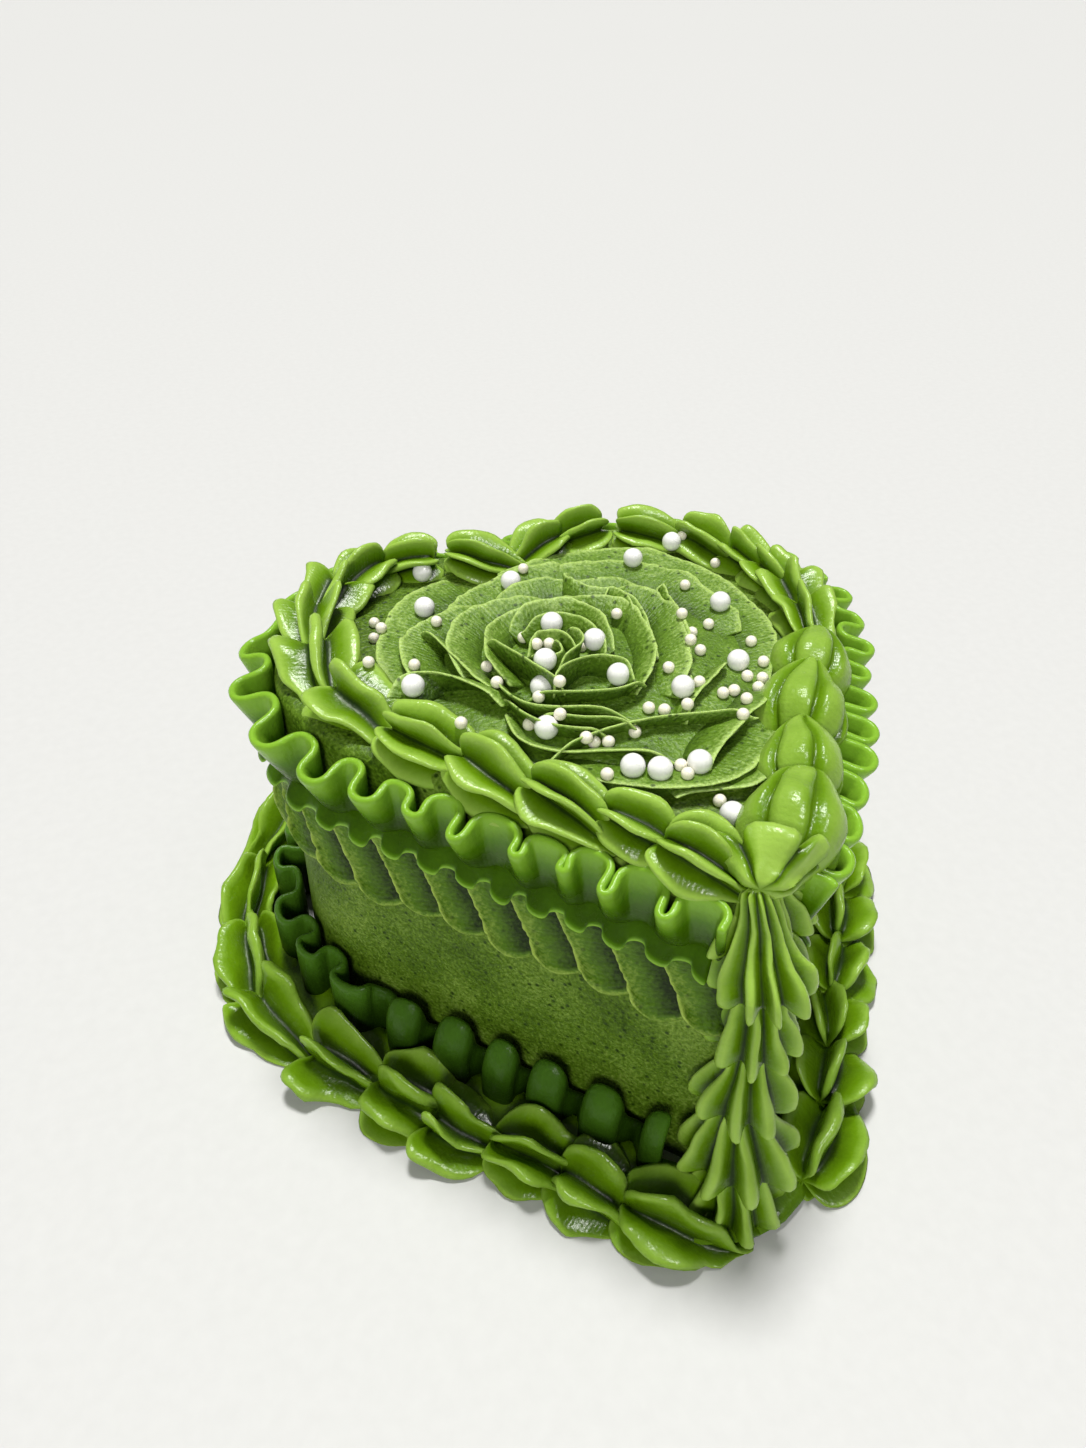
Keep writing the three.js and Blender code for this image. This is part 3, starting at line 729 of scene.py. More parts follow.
def aimed(along, out, nose, roll, yaw):
    """The way a shell points and its upper side, once it is turned by yaw, dipped by nose and rolled."""
    ahead = along * math.cos(yaw) + out * math.sin(yaw)
    ahead = (ahead * math.cos(nose) - UP * math.sin(nose)).normalized()
    return ahead, UP * math.cos(roll) + out * math.sin(roll)


def lay_run(marks, heads_first, height, draw):
    """A shell between each two marks, given as mm walked along the wall and mm out from it."""
    shells = []
    spots = [on_wall(walked * MM, out * MM, height) for walked, out in marks]
    for k, (near, far) in enumerate(zip(spots, spots[1:])):
        place, tail = (near, far) if heads_first else (far, near)
        _, out = wall_at(marks[k][0] * MM)
        shells.append(draw(place, (tail - place).normalized(), out.to_3d(), (far - near).length / MM))
    return shells


# %% [markdown]
# The border round the top runs from the cleft down each side to the point, with the tails towards the
# point. On the right near the point the shells are plumper. One last shell sits over the point.

# %% Top border
rng = random.Random(7)


def top_shell(template, width, tilt=10, natural=17.5, height=0.85):
    """Draws one sort of shell. Tilt is how far its nose dips, and natural the length it has unstretched."""
    def draw(place, along, out, pitch):
        size = rng.uniform(0.93, 1.07) * (pitch / 18) ** 0.3
        nose = math.radians(rng.uniform(tilt - 3, tilt + 3))
        roll = math.radians(rng.uniform(-14, 14))
        yaw = math.radians(rng.uniform(-7, 7))
        ahead, up = aimed(along, out, nose, roll, yaw)
        scale = (width * size, max(0.9, pitch / natural), height * size)
        twist = math.radians(rng.uniform(-16, 16))
        return set_down(template, place, ahead, up, scale, rng.uniform(0, 90), wave=1.2, twist=twist)

    return draw


leafy = top_shell(leaf_shell, 0.95)
wide_leafy = top_shell(leaf_shell, 1.06)
moony = top_shell(moon_shell, 0.92)
plump = top_shell(plump_shell, 0.96, tilt=15, natural=22, height=0.88)
TOP_LIFT = CAKE_TOP + 1.2 * MM
TOP_RUNS = [
    # the sort of shell, whether heads come first, and the marks
    (plump, False, [(12, 0), (35, -1), (53, -2.5), (77, -3.5), (93, -6.5)]),
    (leafy, False, [(93, -6.5), (112, -9), (129, -10.5), (143, -11), (158, -11.5)]),
    (moony, False, [(158, -11.5), (180, -12), (204, -10)]),
    (moony, True, [(204, -10), (221, -9.5), (236, -9)]),
    (moony, False, [(-13, -2.5), (-27, -3.5), (-40, -4), (-58, -5.8), (-76, -7.3), (-96, -8)]),
    (wide_leafy, False, [(-96, -8), (-121, -10.5), (-149, -11.5), (-168, -8), (-184, -5)]),
    (moony, False, [(-184, -5), (-202, -5.5), (-220, -8)]),
    (moony, True, [(-220, -8), (-237, -9)]),
]
shells = []
for sort, heads_first, marks in TOP_RUNS:
    shells += lay_run(marks, heads_first, TOP_LIFT, sort)

CAP_SIZE = (1.2, 0.95, 0.78)
cap_place = Vector((CENTRE.x + 2.5 * MM, CENTRE.y + POINT_Y + 8.5 * MM, CAKE_TOP + 3.4 * MM))
cap_way = Vector((-0.5, -0.85, -0.02)).normalized()
cap_up = Vector((-0.2, 0, 1))
shells.append(set_down(point_cap, cap_place, cap_way, cap_up, CAP_SIZE, seed=5, wave=2.4))
top_border = join(shells, "top_shells")
finish(top_border, ICING["shell_icing"], ["top_shell_border"])

# %% [markdown]
# The border round the foot is piped in one direction, up the right side, round the back and down the
# left side, where every few shells the baker squeezed harder and got longer leaves. It stands on the
# table, so its lowest leaves are pressed flat on it, one over another.

# %% Foot border
FOOT_OUT = 19.4
FOOT_LIFT = -0.8 * MM
LEAF_ROLL = 28
# How much darker the foot border is painted, for the cake's shadow on it.
FOOT_SHADE = 0.77
rng = random.Random(19)


def foot_shell(kinds, wave):
    def draw(place, along, out, pitch):
        size = rng.uniform(0.94, 1.05)
        kind = rng.choice(kinds)
        nose = math.radians(rng.uniform(6, 12))
        roll = math.radians(rng.uniform(-4, 12) + (LEAF_ROLL if kind == leaf_shell else 0))
        yaw = math.radians(rng.uniform(-7, 7))
        ahead, up = aimed(along, out, nose, roll, yaw)
        scale = (1.18 * size, max(0.95, pitch / 16.5), 1.25 * size)
        twist = math.radians(rng.uniform(-12, 12))
        return set_down(kind, place, ahead, up, scale, rng.uniform(0, 90), wave, twist)

    return draw


def foot_marks(side, count, first=4, growth=1.06):
    """Marks from the point to the cleft, each a little further on than the last."""
    walks = [first + (HALF_WAY / MM - first) * (k / count) ** growth for k in range(count + 1)]
    return [(side * walked, FOOT_OUT) for walked in walks]


shells = lay_run(foot_marks(1, 12), True, FOOT_LIFT, foot_shell([moon_shell], 1.3))
shells += lay_run(foot_marks(-1, 13), False, FOOT_LIFT, foot_shell([leaf_shell, moon_shell], 2.1))

# A thin bed of icing joins the shells to the ruffle, as the nozzle leaves it on the table.
BED = {"inner": 5, "outer": 21, "high": 5.0, "low": 1.6, "thick": 1.6}
bed = add_strip("foot_bed", 240, 6)


def spread_bed(co):
    share, across = (co.x + 1) / 2, (co.y + 1) / 2
    edge = BED["outer"] + 1.2 * wobble(23, share * 60)
    height = mix(BED["high"] + 2.5 * wobble(29, share * 48), BED["low"], across**0.7)
    return on_wall(share * ALL_ROUND, mix(BED["inner"], edge, across) * MM, height * MM)


set_attribute(bed, "crest", lambda co: 0.5)
reshape(bed, spread_bed)
refine(bed, "SOLIDIFY", thickness=BED["thick"] * MM, offset=0.0)
face_out(bed)
foot_border = join(shells + [bed], "foot_shells")
# Painted shade: the whole foot border, its bed too, is painted darker, as it lies in the cake's shadow.
change_crest(foot_border, lambda crest: crest * FOOT_SHADE)


TABLE_SOFT = 2.2 * MM
EDGE_SOFT = 2 * MM


def ease(value, limit, soft):
    """Leaves a size alone until it comes near a limit, and then slows it down."""
    start = limit - soft
    return value if value < start else start + soft * (1 - math.exp((start - value) / soft))


def settle(piece):
    """Squashes icing flat on the table that would go below it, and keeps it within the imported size."""
    def squash(co):
        low = TABLE_SOFT * math.exp((co.z - TABLE_SOFT) / TABLE_SOFT) if co.z < TABLE_SOFT else co.z
        x = math.copysign(ease(abs(co.x), CAD_BOX[1][0], EDGE_SOFT), co.x)
        y = math.copysign(ease(abs(co.y), CAD_BOX[1][1], EDGE_SOFT), co.y)
        return Vector((x, y, low))

    reshape(piece, squash)


settle(foot_border)
finish(foot_border, ICING["shell_icing"], ["foot_shell_border"])

# %% [markdown]
# ## Fans up the point
# The point of the heart is dressed with five fans, one above another. Each is squeezed against the
# wall with its open end down and pulled upwards, so its blades hang free below and are drawn together
# above, under the next fan. They are shells too, with more and thinner blades, standing on their heads.
# A flatter sixth copy fills the shoulder behind the top one.

# %% Stack the fans
FAN_BOTTOMS = [
    # mm above the table, mm out from the point, size
    (0.0, 11.5, 1.02),
    (16.5, 8.5, 1.2),
    (34.5, 5.5, 0.94),
    (53.0, 4.0, 0.84),
    (72.5, 4.0, 0.95),
]
TOP_FAN = len(FAN_BOTTOMS) - 1
TOP_PULL = (-0.09, 0.2, 1)
FAN_WAVE = 1.3
FAN_SHADE = 0.98
SHOULDER_SIZE = (1.08, 0.75, 0.6)

rng = random.Random(31)
fans = []
for k, (low, ahead, size) in enumerate(FAN_BOTTOMS):
    place = Vector((CENTRE.x + rng.uniform(-1, 1) * MM, CENTRE.y + POINT_Y - ahead * MM, low * MM))
    pull = Vector((rng.uniform(-0.08, 0.08), 0.12, 1) if k < TOP_FAN else TOP_PULL).normalized()
    front = Vector((rng.uniform(-0.3, 0.3), -1, 0))
    fans.append(set_down(fan, place, pull, front, (size, 1.04, size), rng.uniform(0, 90), FAN_WAVE))
shoulder = Vector((CENTRE.x + 1.5 * MM, CENTRE.y + POINT_Y + 3 * MM, 81 * MM))
pull = Vector((0, 0.1, 1)).normalized()
fans.append(set_down(fan, shoulder, pull, Vector((0, -1, 0)), SHOULDER_SIZE, 8, FAN_WAVE))
point_fans = join(fans, "point_fan_stack")
# The fans' painted rim light is turned down a touch.
change_crest(point_fans, lambda crest: crest * FAN_SHADE)
settle(point_fans)
finish(point_fans, ICING["shell_icing"], ["point_fans"])

# %% [markdown]
# ## Ruffles
# A petal nozzle lays a thin ribbon on edge while the baker's hand swings in and out, so the rim runs
# in loops like a curtain seen from above, and the foot of the ribbon stays near the wall. A flat grid
# is folded by that rule, thickened with Solidify and rounded with a subdivision.

# %% Fold a ribbon along the wall
# Where one way of folding turns into another, as distances from the point.
KNOBS_END = (80 * MM, 105 * MM)
LEAN_END = (55 * MM, 95 * MM)
FAT_END = (85 * MM, 110 * MM)
HEAVY_START = (10 * MM, 30 * MM)
HEAVY_END = (62 * MM, 88 * MM)
# Where the waves are longer, as shares of the way round.
LONG_WAVES = (0.55, 0.86)
# A knob is full for this share of its height, and closes over to this many mm from the wall.
KNOB_FULL, KNOB_CLOSING = 0.55, 0.45
KNOB_BACK = 2.0
KNOB_DIP = 11


def from_point(walked):
    """How far a place is from the point of the heart, by the shorter way."""
    return min(walked, ALL_ROUND - walked)


def walk_clear(share, clear):
    """A share of the way round, with a stretch left clear on each side of the point."""
    return clear + share * (ALL_ROUND - 2 * clear)


def ruffle(name, sizes, seed):
    ribbon = add_strip(name, sizes["waves"] * 20, 8)
    clear = sizes["clear"] * MM
    wave = (ALL_ROUND - 2 * clear) / sizes["waves"]

    def swing_at(share):
        """How far the hand has turned, where it is on the wall, how much of a knob this is (0 to 1),
        and how far out the hand has swung (-1 to 1)."""
        turns = share * sizes["waves"] - sizes["slack"] * ramp(share, *LONG_WAVES)
        phase = 2 * math.pi * turns + 2.3 * wobble(seed, turns * 0.5)
        walked = walk_clear(share, clear)
        knob = sizes["knob"] * (1 - ramp(from_point(walked), *KNOBS_END))
        bump = 2 * abs(math.cos(phase / 2)) ** 0.7 - 1
        return turns, phase, walked, knob, mix(math.cos(phase), bump, knob)

    def shade_ribbon(co):
        """Painted light at the upper edge, and painted shade towards the foot and between the knobs."""
        _, _, _, knob, swing = swing_at((co.x + 1) / 2)
        return mix(0.2, 1.0, ramp((co.y + 1) / 2, 0.2, 1.0)) * (1 - 0.9 * knob * (0.5 - 0.5 * swing))

    def fold(co):
        share, high = (co.x + 1) / 2, (co.y + 1) / 2
        turns, phase, walked, knob, swing = swing_at(share)
        opened = high ** sizes["opening"]

        # How far out from the wall
        swell = 1 + 0.55 * wobble(seed + 1, turns * 0.9)
        heavy = sizes["heavy"] * ramp(walked, *HEAVY_START) * (1 - ramp(walked, *HEAVY_END))
        out = mix(sizes["foot_out"], sizes["out"] + heavy, opened)
        out += mix(sizes["foot_swing"], sizes["swing"] * swell, opened) * swing
        closed = math.sqrt(1 - (max(0.0, high - KNOB_FULL) / KNOB_CLOSING) ** 2 * 0.94)
        out = mix(out, KNOB_BACK + (out - KNOB_BACK) * closed, knob)

        # How far along the wall
        lean = sizes["lean"] * (1 - ramp(from_point(walked), *LEAN_END))
        lean *= 1.0 if share > 0.5 else -0.95
        loop = sizes["loop"] * math.sin(2 * phase) * (1 - 0.3 * knob) - lean * math.sin(phase)
        loop *= wave * mix(opened, 1.0, knob)

        # How high
        rise = 0.9 * wobble(seed + 2, turns * 1.3) * high - sizes["arch"] * swing * opened
        rise -= KNOB_DIP * knob * high * (0.5 - 0.5 * math.cos(phase)) ** 1.1
        height = mix(sizes["low"], sizes["high"], high) + rise
        return on_wall(walked + loop, out * MM, height * MM)

    set_attribute(ribbon, "crest", shade_ribbon)
    set_attribute(ribbon, "travel", lambda co: 1.1 * (co.x + 1) * HALF_WAY / MM)
    group = ribbon.vertex_groups.new(name="thickness")
    for vertex in ribbon.data.vertices:
        near_point = 1 - ramp(from_point((vertex.co.x + 1) * HALF_WAY), *FAT_END)
        group.add([vertex.index], mix(1.0, sizes["fat"], near_point) / sizes["fat"], "REPLACE")
    reshape(ribbon, fold)
    thickest = sizes["thick"] * sizes["fat"] * MM
    thicken(ribbon, thickest, vertex_group="thickness", use_quality_normals=True)
    return ribbon


# %% Two ruffles
# waves: how many loops, less slack where they are longer; clear: what is left free beside the point;
# low, high: the heights of the two edges; out, swing: how far the upper edge stands out and swings;
# foot_out, foot_swing: the same for the lower edge; opening: how late the ribbon spreads, going up;
# heavy: how much further out it stands right of the point; loop, lean: how far the loops fold over
# and tip sideways, in waves; arch: how far the loops droop; knob: 1 for round knobs near the point;
# thick: its thickness, and fat: how many times thicker it is near the point.
UPPER = {
    "waves": 40, "slack": 3.0, "clear": 7, "low": 79.5, "high": 95.8, "out": 6.2, "swing": 4.3,
    "foot_out": 2.0, "foot_swing": 0.8, "opening": 0.85, "heavy": 3.0, "loop": 0.095, "lean": 0.17,
    "arch": 1.0, "knob": 0.0, "thick": 2.0, "fat": 1.0,
}
upper_ruffle = ruffle("standing_ruffle", UPPER, 41)
finish(upper_ruffle, ICING["ruffle_icing"], ["upper_ruffle"])

FOOT = {
    "waves": 30, "slack": 0.0, "clear": 12, "low": 0.0, "high": 22.3, "out": 6.0, "swing": 3.9,
    "foot_out": 6.0, "foot_swing": 3.4, "opening": 0.5, "heavy": 0.0, "loop": 0.11, "lean": 0.0,
    "arch": 0.0, "knob": 1.0, "thick": 2.1, "fat": 1.3,
}
foot_ruffle = ruffle("dark_foot_ruffle", FOOT, 61)
settle(foot_ruffle)
finish(foot_ruffle, ICING["foot_icing"], ["foot_ruffle"])

# %% [markdown]
# The flounce under the standing ruffle is thinner and lies against the wall. Its glossy lower edge
# ripples outwards, with a wave about every 9 mm.

# %% Thin flounce
FLOUNCE = {
    "waves": 48, "clear": 9, "high": 81.5, "low": 76.4, "out": 6.0, "ripple": 1.3, "loop": 0.8, "thick": 1.1,
}
flounce = add_strip("thin_flounce", FLOUNCE["waves"] * 10, 5)


def fold_flounce(co):
    share, down = (co.x + 1) / 2, (1 - co.y) / 2
    turns = share * FLOUNCE["waves"]
    phase = 2 * math.pi * turns + 1.3 * wobble(5, turns * 0.5)
    swell = 1 + 0.5 * wobble(6, turns * 0.8)
    edge = ramp(down, 0.1, 1.0)
    ripple = edge * swell * FLOUNCE["ripple"]
    out = mix(0.4, FLOUNCE["out"], down**0.8) + ripple * math.cos(phase)
    height = mix(FLOUNCE["high"], FLOUNCE["low"], down**1.3) - ripple * math.sin(phase + 0.9)
    walked = walk_clear(share, FLOUNCE["clear"] * MM) + edge * FLOUNCE["loop"] * MM * math.sin(2 * phase)
    return on_wall(walked, out * MM, height * MM)


# Painted light along the rippled lower edge, and painted shade on the face above it.
set_attribute(flounce, "crest", lambda co: mix(0.3, 1.0, ramp((1 - co.y) / 2, 0.8, 1.0)))
reshape(flounce, fold_flounce)
thicken(flounce, FLOUNCE["thick"] * MM, use_quality_normals=True)
finish(flounce, ICING["ruffle_icing"], ["lower_ruffle"])

# %% [markdown]
# ## The frill of pressed petals
# Below the flounce the baker has dabbed flat petals on the wall, each one's left edge over its
# neighbour. One petal is a grid, rounded at its lower end and lifted along its left edge, and the
# copies are wrapped round the wall by its distance.

# %% Press a petal, again and again
def shade(co):
    """Painted light along the lifted left edge and the lower end, and painted shade where the next petal
    covers it.
    """
    across, down = (co.x + 1) / 2, (1 - co.y) / 2
    edge = max(1 - ramp(across, 0.0, 0.16), 0.8 * ramp(down, 0.9, 0.98))
    return max(edge, mix(0.62, 0.0, ramp(across, 0.15, 0.75)))


FRILL = {"petals": 38, "clear": 9, "high": 79.0, "low": 53.5, "slant": 10.5, "overlap": 1.3, "thick": 0.9}
# Where across a petal its rounded end is lowest, and how much the end rises on the left and the right.
PETAL_TIP = 0.45
LEFT_RISE, RIGHT_RISE = 0.8, 0.3

rng = random.Random(71)
petals = []
frill_pitch = (ALL_ROUND - 2 * FRILL["clear"] * MM) / FRILL["petals"]
for k in range(FRILL["petals"]):
    petal = add_strip("petal", 11, 25)
    start = FRILL["clear"] * MM + k * frill_pitch
    drop = rng.uniform(-1.8, 1.8)
    wide = frill_pitch * FRILL["overlap"] * rng.uniform(0.95, 1.05)
    seed = rng.uniform(0, 50)

    def press(co):
        across, down = (co.x + 1) / 2, (1 - co.y) / 2
        rise = LEFT_RISE if across < PETAL_TIP else RIGHT_RISE
        low = FRILL["low"] + drop + 4.0 * across + 9.0 * abs(1 - across / PETAL_TIP) ** 2.4 * rise
        height = mix(FRILL["high"], low, down) + 0.25 * wobble(seed, across * 9) * down
        lift = 4.6 * (1 - across) ** 1.7 + 0.9 * math.sin(math.pi * across)
        out = 0.35 + lift * mix(0.7, 1.0, down) + 0.6 * ramp(down, 0.8, 0.95)
        crease = wobble(seed, down * 17 + 1.5 * across)
        out += 0.55 * crease * ramp(down, 0.1, 0.3) * (1 - 0.6 * across)
        walked = start + (across - 0.1) * wide + FRILL["slant"] * MM * down + 0.25 * MM * crease
        return on_wall(max(walked, 0.0), max(out, 0.3) * MM, height * MM)

    set_attribute(petal, "crest", shade)
    set_attribute(petal, "travel", lambda co: 13 * (1 - co.y))
    reshape(petal, press)
    petals.append(petal)
frill = join(petals, "pressed_petals")
thicken(frill, FRILL["thick"] * MM, offset=-1.0)
finish(frill, ICING["frill_icing"], ["petal_frill"])

# %% [markdown]
# ## The rose
# A petal nozzle lays ribbons of icing round a bud. Near the bud they stand up, further out they lean
# more and more, and the last ones lie almost flat. Their rims are thin, so they tear into a fine ragged
# edge that catches the light. Hand piping is never even, so each petal has its own course: the way its
# rim runs over the cake, its height, and how far and how deep its root is tucked in towards the bud.
# A low dome under them fills the gaps, as the first squeeze of icing does. The courses were picked
# in the photo and projected from its camera outside this script. Most were then altered.

# %% The courses of the petals, in mm
BUD = Vector((-8.0, -26.0))
PETALS = [
    # rim height, tuck, drop, course of the rim
    (100.6, 16, 2.6, [
        (-46, -34), (-51, -25), (-52, -12), (-51, 0), (-47, 11), (-40, 21), (-31, 28), (-22, 31),
    ]),
    (100.9, 17, 2.8, [(-8, 30), (4, 31), (17, 31.5), (30, 30), (40, 24), (47, 13), (51, 1), (52, -12)]),
    (100.8, 15, 2.8, [(50, 4), (52, -12), (50, -24), (44, -36), (36, -46)]),
    (102.3, 15, 4.0, [(-3, 24), (8, 24), (20, 22), (31, 17), (39, 8), (43, -2), (44, -14), (41, -24)]),
    (102.6, 13, 4.5, [(-36, 4), (-30, 10), (-24, 16), (-15, 21), (-6, 24), (6, 25), (14, 22)]),
    (103.3, 12, 5.0, [(-47, -22), (-47, -8), (-44, 1), (-38, 6), (-29, 10), (-20, 12)]),
    (104.8, 10, 6.0, [(-15, 11), (-8, 14), (1, 15), (7, 11), (17, 9), (26, 4)]),
    (105.8, 11, 7.0, [(14, 4), (22, 0), (26, -8), (26, -16), (22, -28), (17, -39), (10, -48)]),
    (105.4, 10, 6.5, [(-35, -22), (-36, -11), (-33, -3), (-28, 3), (-20, 7), (-10, 7), (-1, 5)]),
    (105.6, 7, 7.5, [(-39, 2), (-37.5, -4), (-36, -12), (-34.5, -20), (-33, -27), (-30, -33)]),
    (107.8, 7, 9.0, [(-27, -30), (-29, -22), (-26, -11), (-21, -5), (-14, -3), (-8, -4)]),
    (108.6, 6, 9.5, [(-19, -8), (-13, -4), (-6, -2), (0, -4), (4, -10), (5, -17), (3, -26)]),
    (106.8, 6, 8.0, [
        (12, -32), (16, -21), (18, -10), (17, -4), (14, 1), (9, 3), (6, 6), (5, 9), (5, 11), (7, 12),
        (8, 10),
    ]),
    (106.2, 5, 7.5, [
        (15, -43), (21, -32), (25, -20), (27, -11), (28, -6), (28, -3), (26, -4), (25, -7), (26, -9),
    ]),
    (108.0, 4, 6.0, [(9, -7), (12, -2), (14, -2), (15, -8), (14, -16)]),
    (107.6, 7, 9.0, [(1, 4), (6, -2), (12, -6), (15, -13), (14, -21), (12, -30), (7, -39), (0, -44)]),
    (107.9, 5, 9.0, [(4, -42), (-4, -44.5), (-12, -43), (-19, -40.5), (-26, -38)]),
    (107.2, 4, 8.5, [(-30, -27), (-30, -34), (-27, -41), (-21, -45), (-13, -48), (-5, -54)]),
    (106.5, 4, 8.5, [(-26, -44), (-21, -47), (-16, -50), (-11, -52), (-5, -56)]),
    (106.0, 4, 8.5, [(-31, -32), (-29, -41), (-25, -48), (-19, -52.5), (-12, -55)]),
    (105.4, 4, 8.0, [
        (-29, -58), (-22, -56), (-14, -54.6), (-6, -54.2), (2, -55), (11, -57), (18, -58.5), (24, -60),
    ]),
    (104.6, 6, 7.0, [(28, -38), (24, -42), (18, -46), (12, -50.5), (7, -56)]),
    (103.8, 6, 6.5, [(-30, -36), (-32, -46), (-30, -52), (-24, -57), (-15, -60), (-7, -63), (-1, -68)]),
    (103.6, 9, 5.5, [(33, -51), (28, -56), (20, -60.5), (11, -66), (4, -72)]),
    (101.4, 12, 3.6, [
        (-30, -60), (-23, -64), (-16, -69), (-9, -73), (0, -75.7), (9, -76), (18, -72), (27, -64),
    ]),
    (100.4, 9, 3.0, [(-6, -75), (3, -77), (11, -78.5), (19, -76)]),
    (106.8, 9, 7.5, [(-55, -24), (-49, -20), (-44, -20.6), (-39, -25), (-35, -31), (-31, -37)]),
    (110.2, 3, 9.5, [(-27, -15), (-25, -21), (-22, -28), (-19.5, -35), (-17, -41)]),
    (110.2, 3, 9.5, [(-20, -41), (-18, -37), (-15, -34.5), (-10, -33), (-4, -33.5), (0, -37), (0, -44)]),
    (110.0, 3, 9.5, [(-17, -12), (-10, -11), (-4, -13), (-1, -18), (0, -25), (-2, -31)]),
    (110.6, 2, 9.5, [(-20, -25), (-17, -20.5), (-13, -19.5), (-9, -22), (-8, -27)]),
    (110.8, 2, 9.5, [(-15, -32), (-11, -30), (-7, -27), (-6, -22), (-8, -18)]),
    (110.4, 2, 9.5, [(-19, -24), (-17, -29), (-13, -29), (-12, -25), (-13, -22)]),
]
print(len(PETALS), "petals to fold")


def along_course(course, share):
    """A smooth curve through the points of a course."""
    walk = share * (len(course) - 1)
    k = min(int(walk), len(course) - 2)
    t = walk - k
    a, b, c, d = [Vector(course[min(max(j, 0), len(course) - 1)]) for j in (k - 1, k, k + 1, k + 2)]
    curve = 2 * b + (c - a) * t + (2 * a - 5 * b + 4 * c - d) * t**2 + (3 * b - a - 3 * c + d) * t**3
    return curve / 2


# %% Fold each petal along its course
ROOT_THICKNESS = 2.8 * MM
# The rim's thickness is this share of the root's, and a petal is cut every so many mm of its course.
RIM_SHARE = 0.2
CUT_SPACING = 1.5


def petal_shade(co):
    """Painted shade at the tucked-in root, lighter up the face, and painted light, palest, on the thin rim.
    """
    up = (co.y + 1) / 2
    return mix(mix(0.15, 0.62, ramp(up, 0.1, 0.9)), 1.0, ramp(up, 0.94, 1.0))


rng = random.Random(97)
petals = []
for height, tuck, drop, course in PETALS:
    length = sum((Vector(b) - Vector(a)).length for a, b in zip(course, course[1:]))
    petal = add_strip("petal", max(14, round(length / CUT_SPACING)), 9)
    seed = rng.uniform(0, 60)

    def bend(co):
        across, up = (co.x + 1) / 2, (co.y + 1) / 2
        walked = across * length
        rim = along_course(course, across)
        inward = (BUD - rim).normalized()
        end = ramp(across, 0.0, 0.16) * ramp(1 - across, 0.0, 0.16)
        wave = wobble(seed, walked / 9) * 1.1 + wobble(seed + 5, walked / 4) * 0.4
        ragged = wobble(seed + 9, walked / 1.3) + 0.6 * wobble(seed + 13, walked / 3)
        ragged = ragged * 0.6 * ramp(up, 0.72, 1.0)
        place = rim + inward * (tuck * (1 - up**1.35) - (wave * 0.7 + ragged) * up)
        z = height - drop * (1 - up**0.8) - 0.4 * drop * (1 - end) * up + (wave * 0.5 + ragged * 0.6) * up
        place = place * MM + CENTRE
        return Vector((place.x, place.y, max(z * MM, CAKE_TOP + 0.2 * MM)))

    set_attribute(petal, "crest", petal_shade)
    set_attribute(petal, "travel", lambda co: 0.8 * length * (co.x + 1) / 2)
    group = petal.vertex_groups.new(name="thickness")
    for vertex in petal.data.vertices:
        group.add([vertex.index], mix(1.0, RIM_SHARE, ((vertex.co.y + 1) / 2) ** 0.6), "REPLACE")
    reshape(petal, bend)
    petals.append(petal)
rose = join(petals, "rose_petals")
thicken(rose, ROOT_THICKNESS, vertex_group="thickness")
finish(rose, ICING["rose_icing"], ["rose"])

# %% The dome under the petals
# Each step up is a rise in mm and the share of its width that is left.
DOME_STEPS = [(1.5, 0.985), (1.8, 0.92), (1.4, 0.82), (1.1, 0.72), (0.9, 0.6), (0.7, 0.42), (0.4, 0.3)]
dome = add_ring("rose_bed", 72, 48 * MM, "NGON")
edit_all(dome)
for rise, shrink in DOME_STEPS:
    bpy.ops.mesh.extrude_region_move(TRANSFORM_OT_translate={"value": (0, 0, rise * MM)})
    bpy.ops.transform.resize(value=(shrink, shrink, 1))
bpy.ops.object.mode_set(mode="OBJECT")
middle = CENTRE + Vector((-1, -24)) * MM
reshape(dome, lambda co: co + Vector((middle.x, middle.y, CAKE_TOP - 1.0 * MM)))
face_out(dome)
set_attribute(dome, "crest", lambda co: 0.5 + 0.25 * noise.noise(co / (11 * MM)))
finish(dome, ICING["rose_icing"], ["rose"])

# %% [markdown]
# ## Sugar pearls
# Two sizes of sugar pearl are dropped on the rose: large white ones and small cream ones, which gather
# in twos and threes where petals meet. Their places were picked in the photo and projected from
# its camera outside this script, rounded to whole mm, so they are known at one height only, 104 mm. A
# pearl that lies lower or higher is moved along the line of sight until it touches the icing, and sunk
# in a little.

# %% Set the pearls on the petals
BIG_PEARLS = [
    (-1, -89), (43, 20), (28, 15), (39, -15), (29, -41), (11, -46), (-1, -36), (0, -20), (-7, -9),
    (-15, -24), (-20, -34), (-25, -49), (-9, 15), (-30, 28), (-35, 10), (-48, -23), (-13, -68),
    (-8, -71), (1, -72),
]
SMALL_PEARLS = [
    (-49, 8), (-48, 5), (-51, 1), (-55, -9), (-34, 3), (-33, 0), (-3, 21), (-8, -4), (-16, -12),
    (-18, -14), (-14, -16), (-11, -17), (-4, -21), (11, -10), (35, -3), (27, -16), (25, -25), (23, -28),
    (23, -33), (31, -23), (49, 5), (48, 23), (12, -37), (16, -45), (9, -52), (0, -50), (3, -52),
    (5, -52), (19, -51), (22, -51), (24, -51), (28, -47), (31, -44), (35, -43), (31, -49), (28, -52),
    (23, -55), (19, -60), (37, -34), (-29, -21), (-29, -28), (-22, -37), (-15, -33), (-20, -45),
    (-28, -46), (-26, -52), (-42, -40), (-18, -55), (-17, -57), (-14, -58), (-7, -57), (-19, -68),
    (-3, -71), (-3, -74), (0, -70), (0, -75), (-1, -84), (-45, -14),
]
KNOWN_HEIGHT = 104 * MM
BIG = 2.8 * MM
SMALL = 1.5 * MM
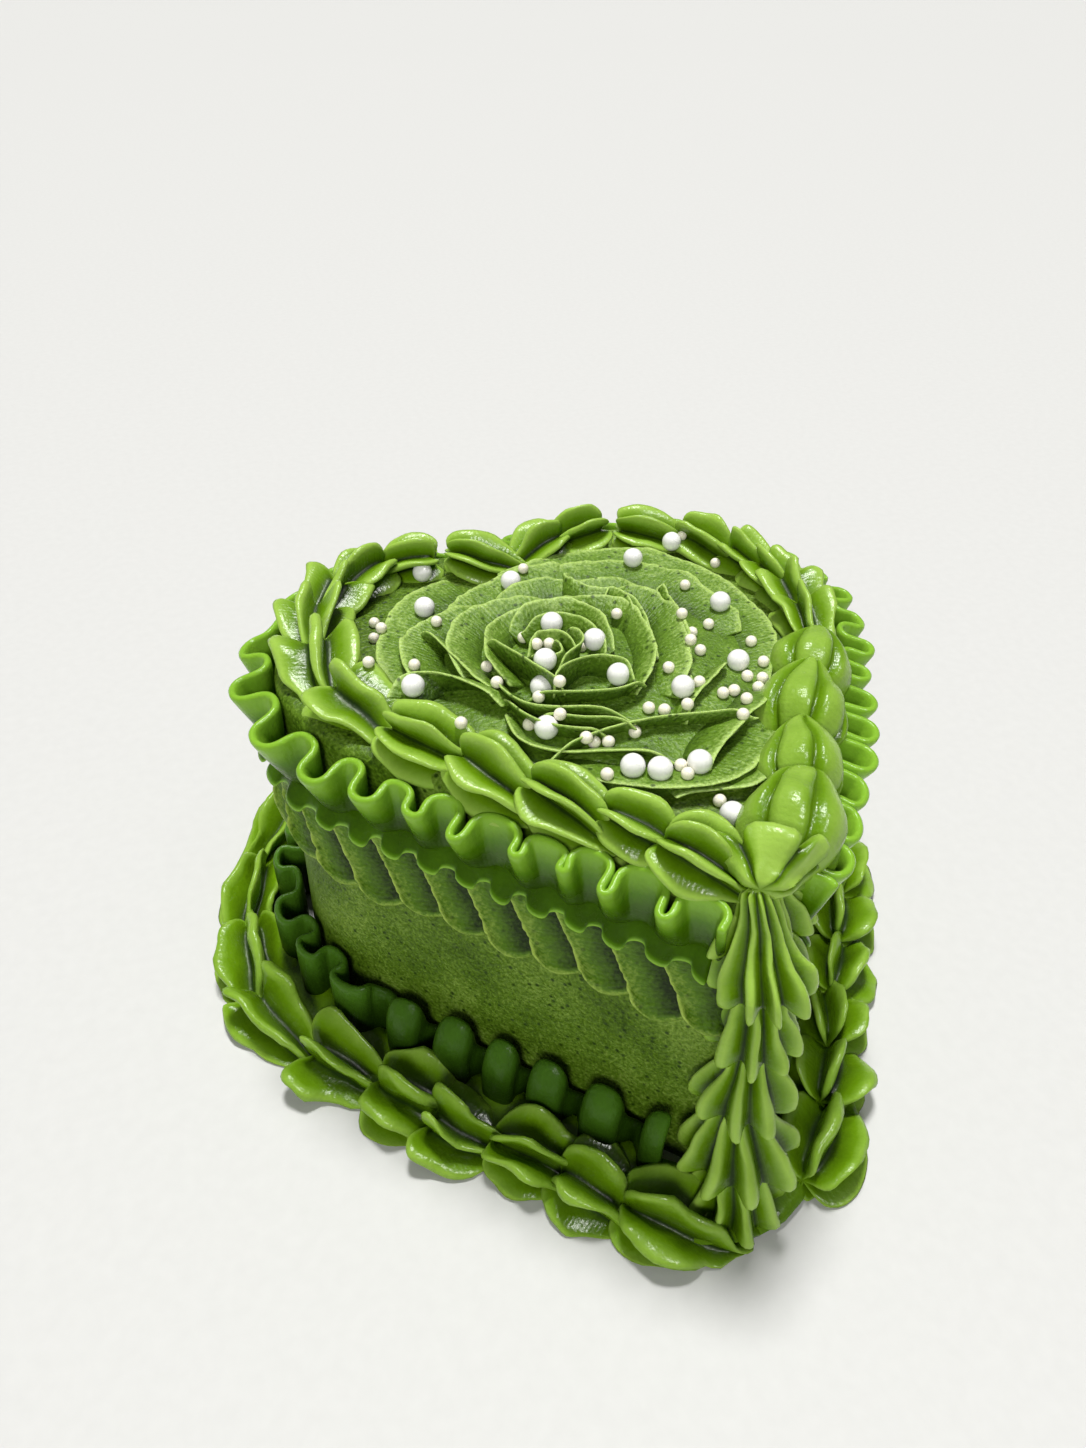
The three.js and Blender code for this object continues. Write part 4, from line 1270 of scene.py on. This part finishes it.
# A pearl's middle, in radii: this far back from where the sight touches the icing, and this much higher.
BACK, HIGHER = 0.45, 0.4
# Two pearls whose middles are nearer than this share of their radii would run into each other.
NEAREST = 0.85


def touchable(piece):
    corners = [v.co.copy() for v in piece.data.vertices]
    return BVHTree.FromPolygons(corners, [tuple(f.vertices) for f in piece.data.polygons])


beds = [touchable(piece) for piece in (rose, dome, core, top_border)]
placed = []


def set_pearl(x, y, radius):
    known = Vector((CENTRE.x + x * MM, CENTRE.y + y * MM, KNOWN_HEIGHT))
    sight = (known - CAMERA_AT).normalized()
    touches = [tree.ray_cast(CAMERA_AT, sight)[0] for tree in beds]
    reaches = [(touch - CAMERA_AT).length for touch in touches if touch is not None]
    if not reaches:
        return
    first_touch = CAMERA_AT + sight * min(reaches)
    at = first_touch - sight * radius * BACK + Vector((0, 0, radius * HIGHER))
    if all((at - other).length > (radius + size) * NEAREST for other, size in placed):
        placed.append((at, radius))


for x, y in BIG_PEARLS:
    set_pearl(x, y, BIG)
for x, y in SMALL_PEARLS:
    set_pearl(x, y, SMALL)


def pearls(name, radius, levels):
    bpy.ops.object.select_all(action="DESELECT")
    bpy.ops.mesh.primitive_ico_sphere_add(subdivisions=levels, radius=radius)
    first = bpy.context.object
    balls = []
    for at, size in placed:
        if size == radius:
            ball = copy_of(first)
            ball.data.transform(Matrix.Translation(at))
            balls.append(ball)
    bpy.data.objects.remove(first)
    return join(balls, name)


finish(pearls("large_pearls", BIG, 4), PEARL_WHITE)
finish(pearls("small_pearls", SMALL, 3), PEARL_CREAM)
print(len(placed), "pearls")

# %% [markdown]
# ## Finishing
# The first shells were only patterns, so they go. The sizes of the imported model and of the finished
# one are gathered side by side, and the finished one is printed. The looks may not make the cake any
# larger.

# %% Remove the patterns, gather the sizes, print the finished one
for pattern in (leaf_shell, moon_shell, plump_shell, fan, point_cap):
    bpy.data.objects.remove(pattern)
sizes = {"cad": [list(c) for c in CAD_BOX], "visual": [list(c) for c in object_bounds()]}
print("visual box in mm", [[round(c / MM, 1) for c in corner] for corner in sizes["visual"]])
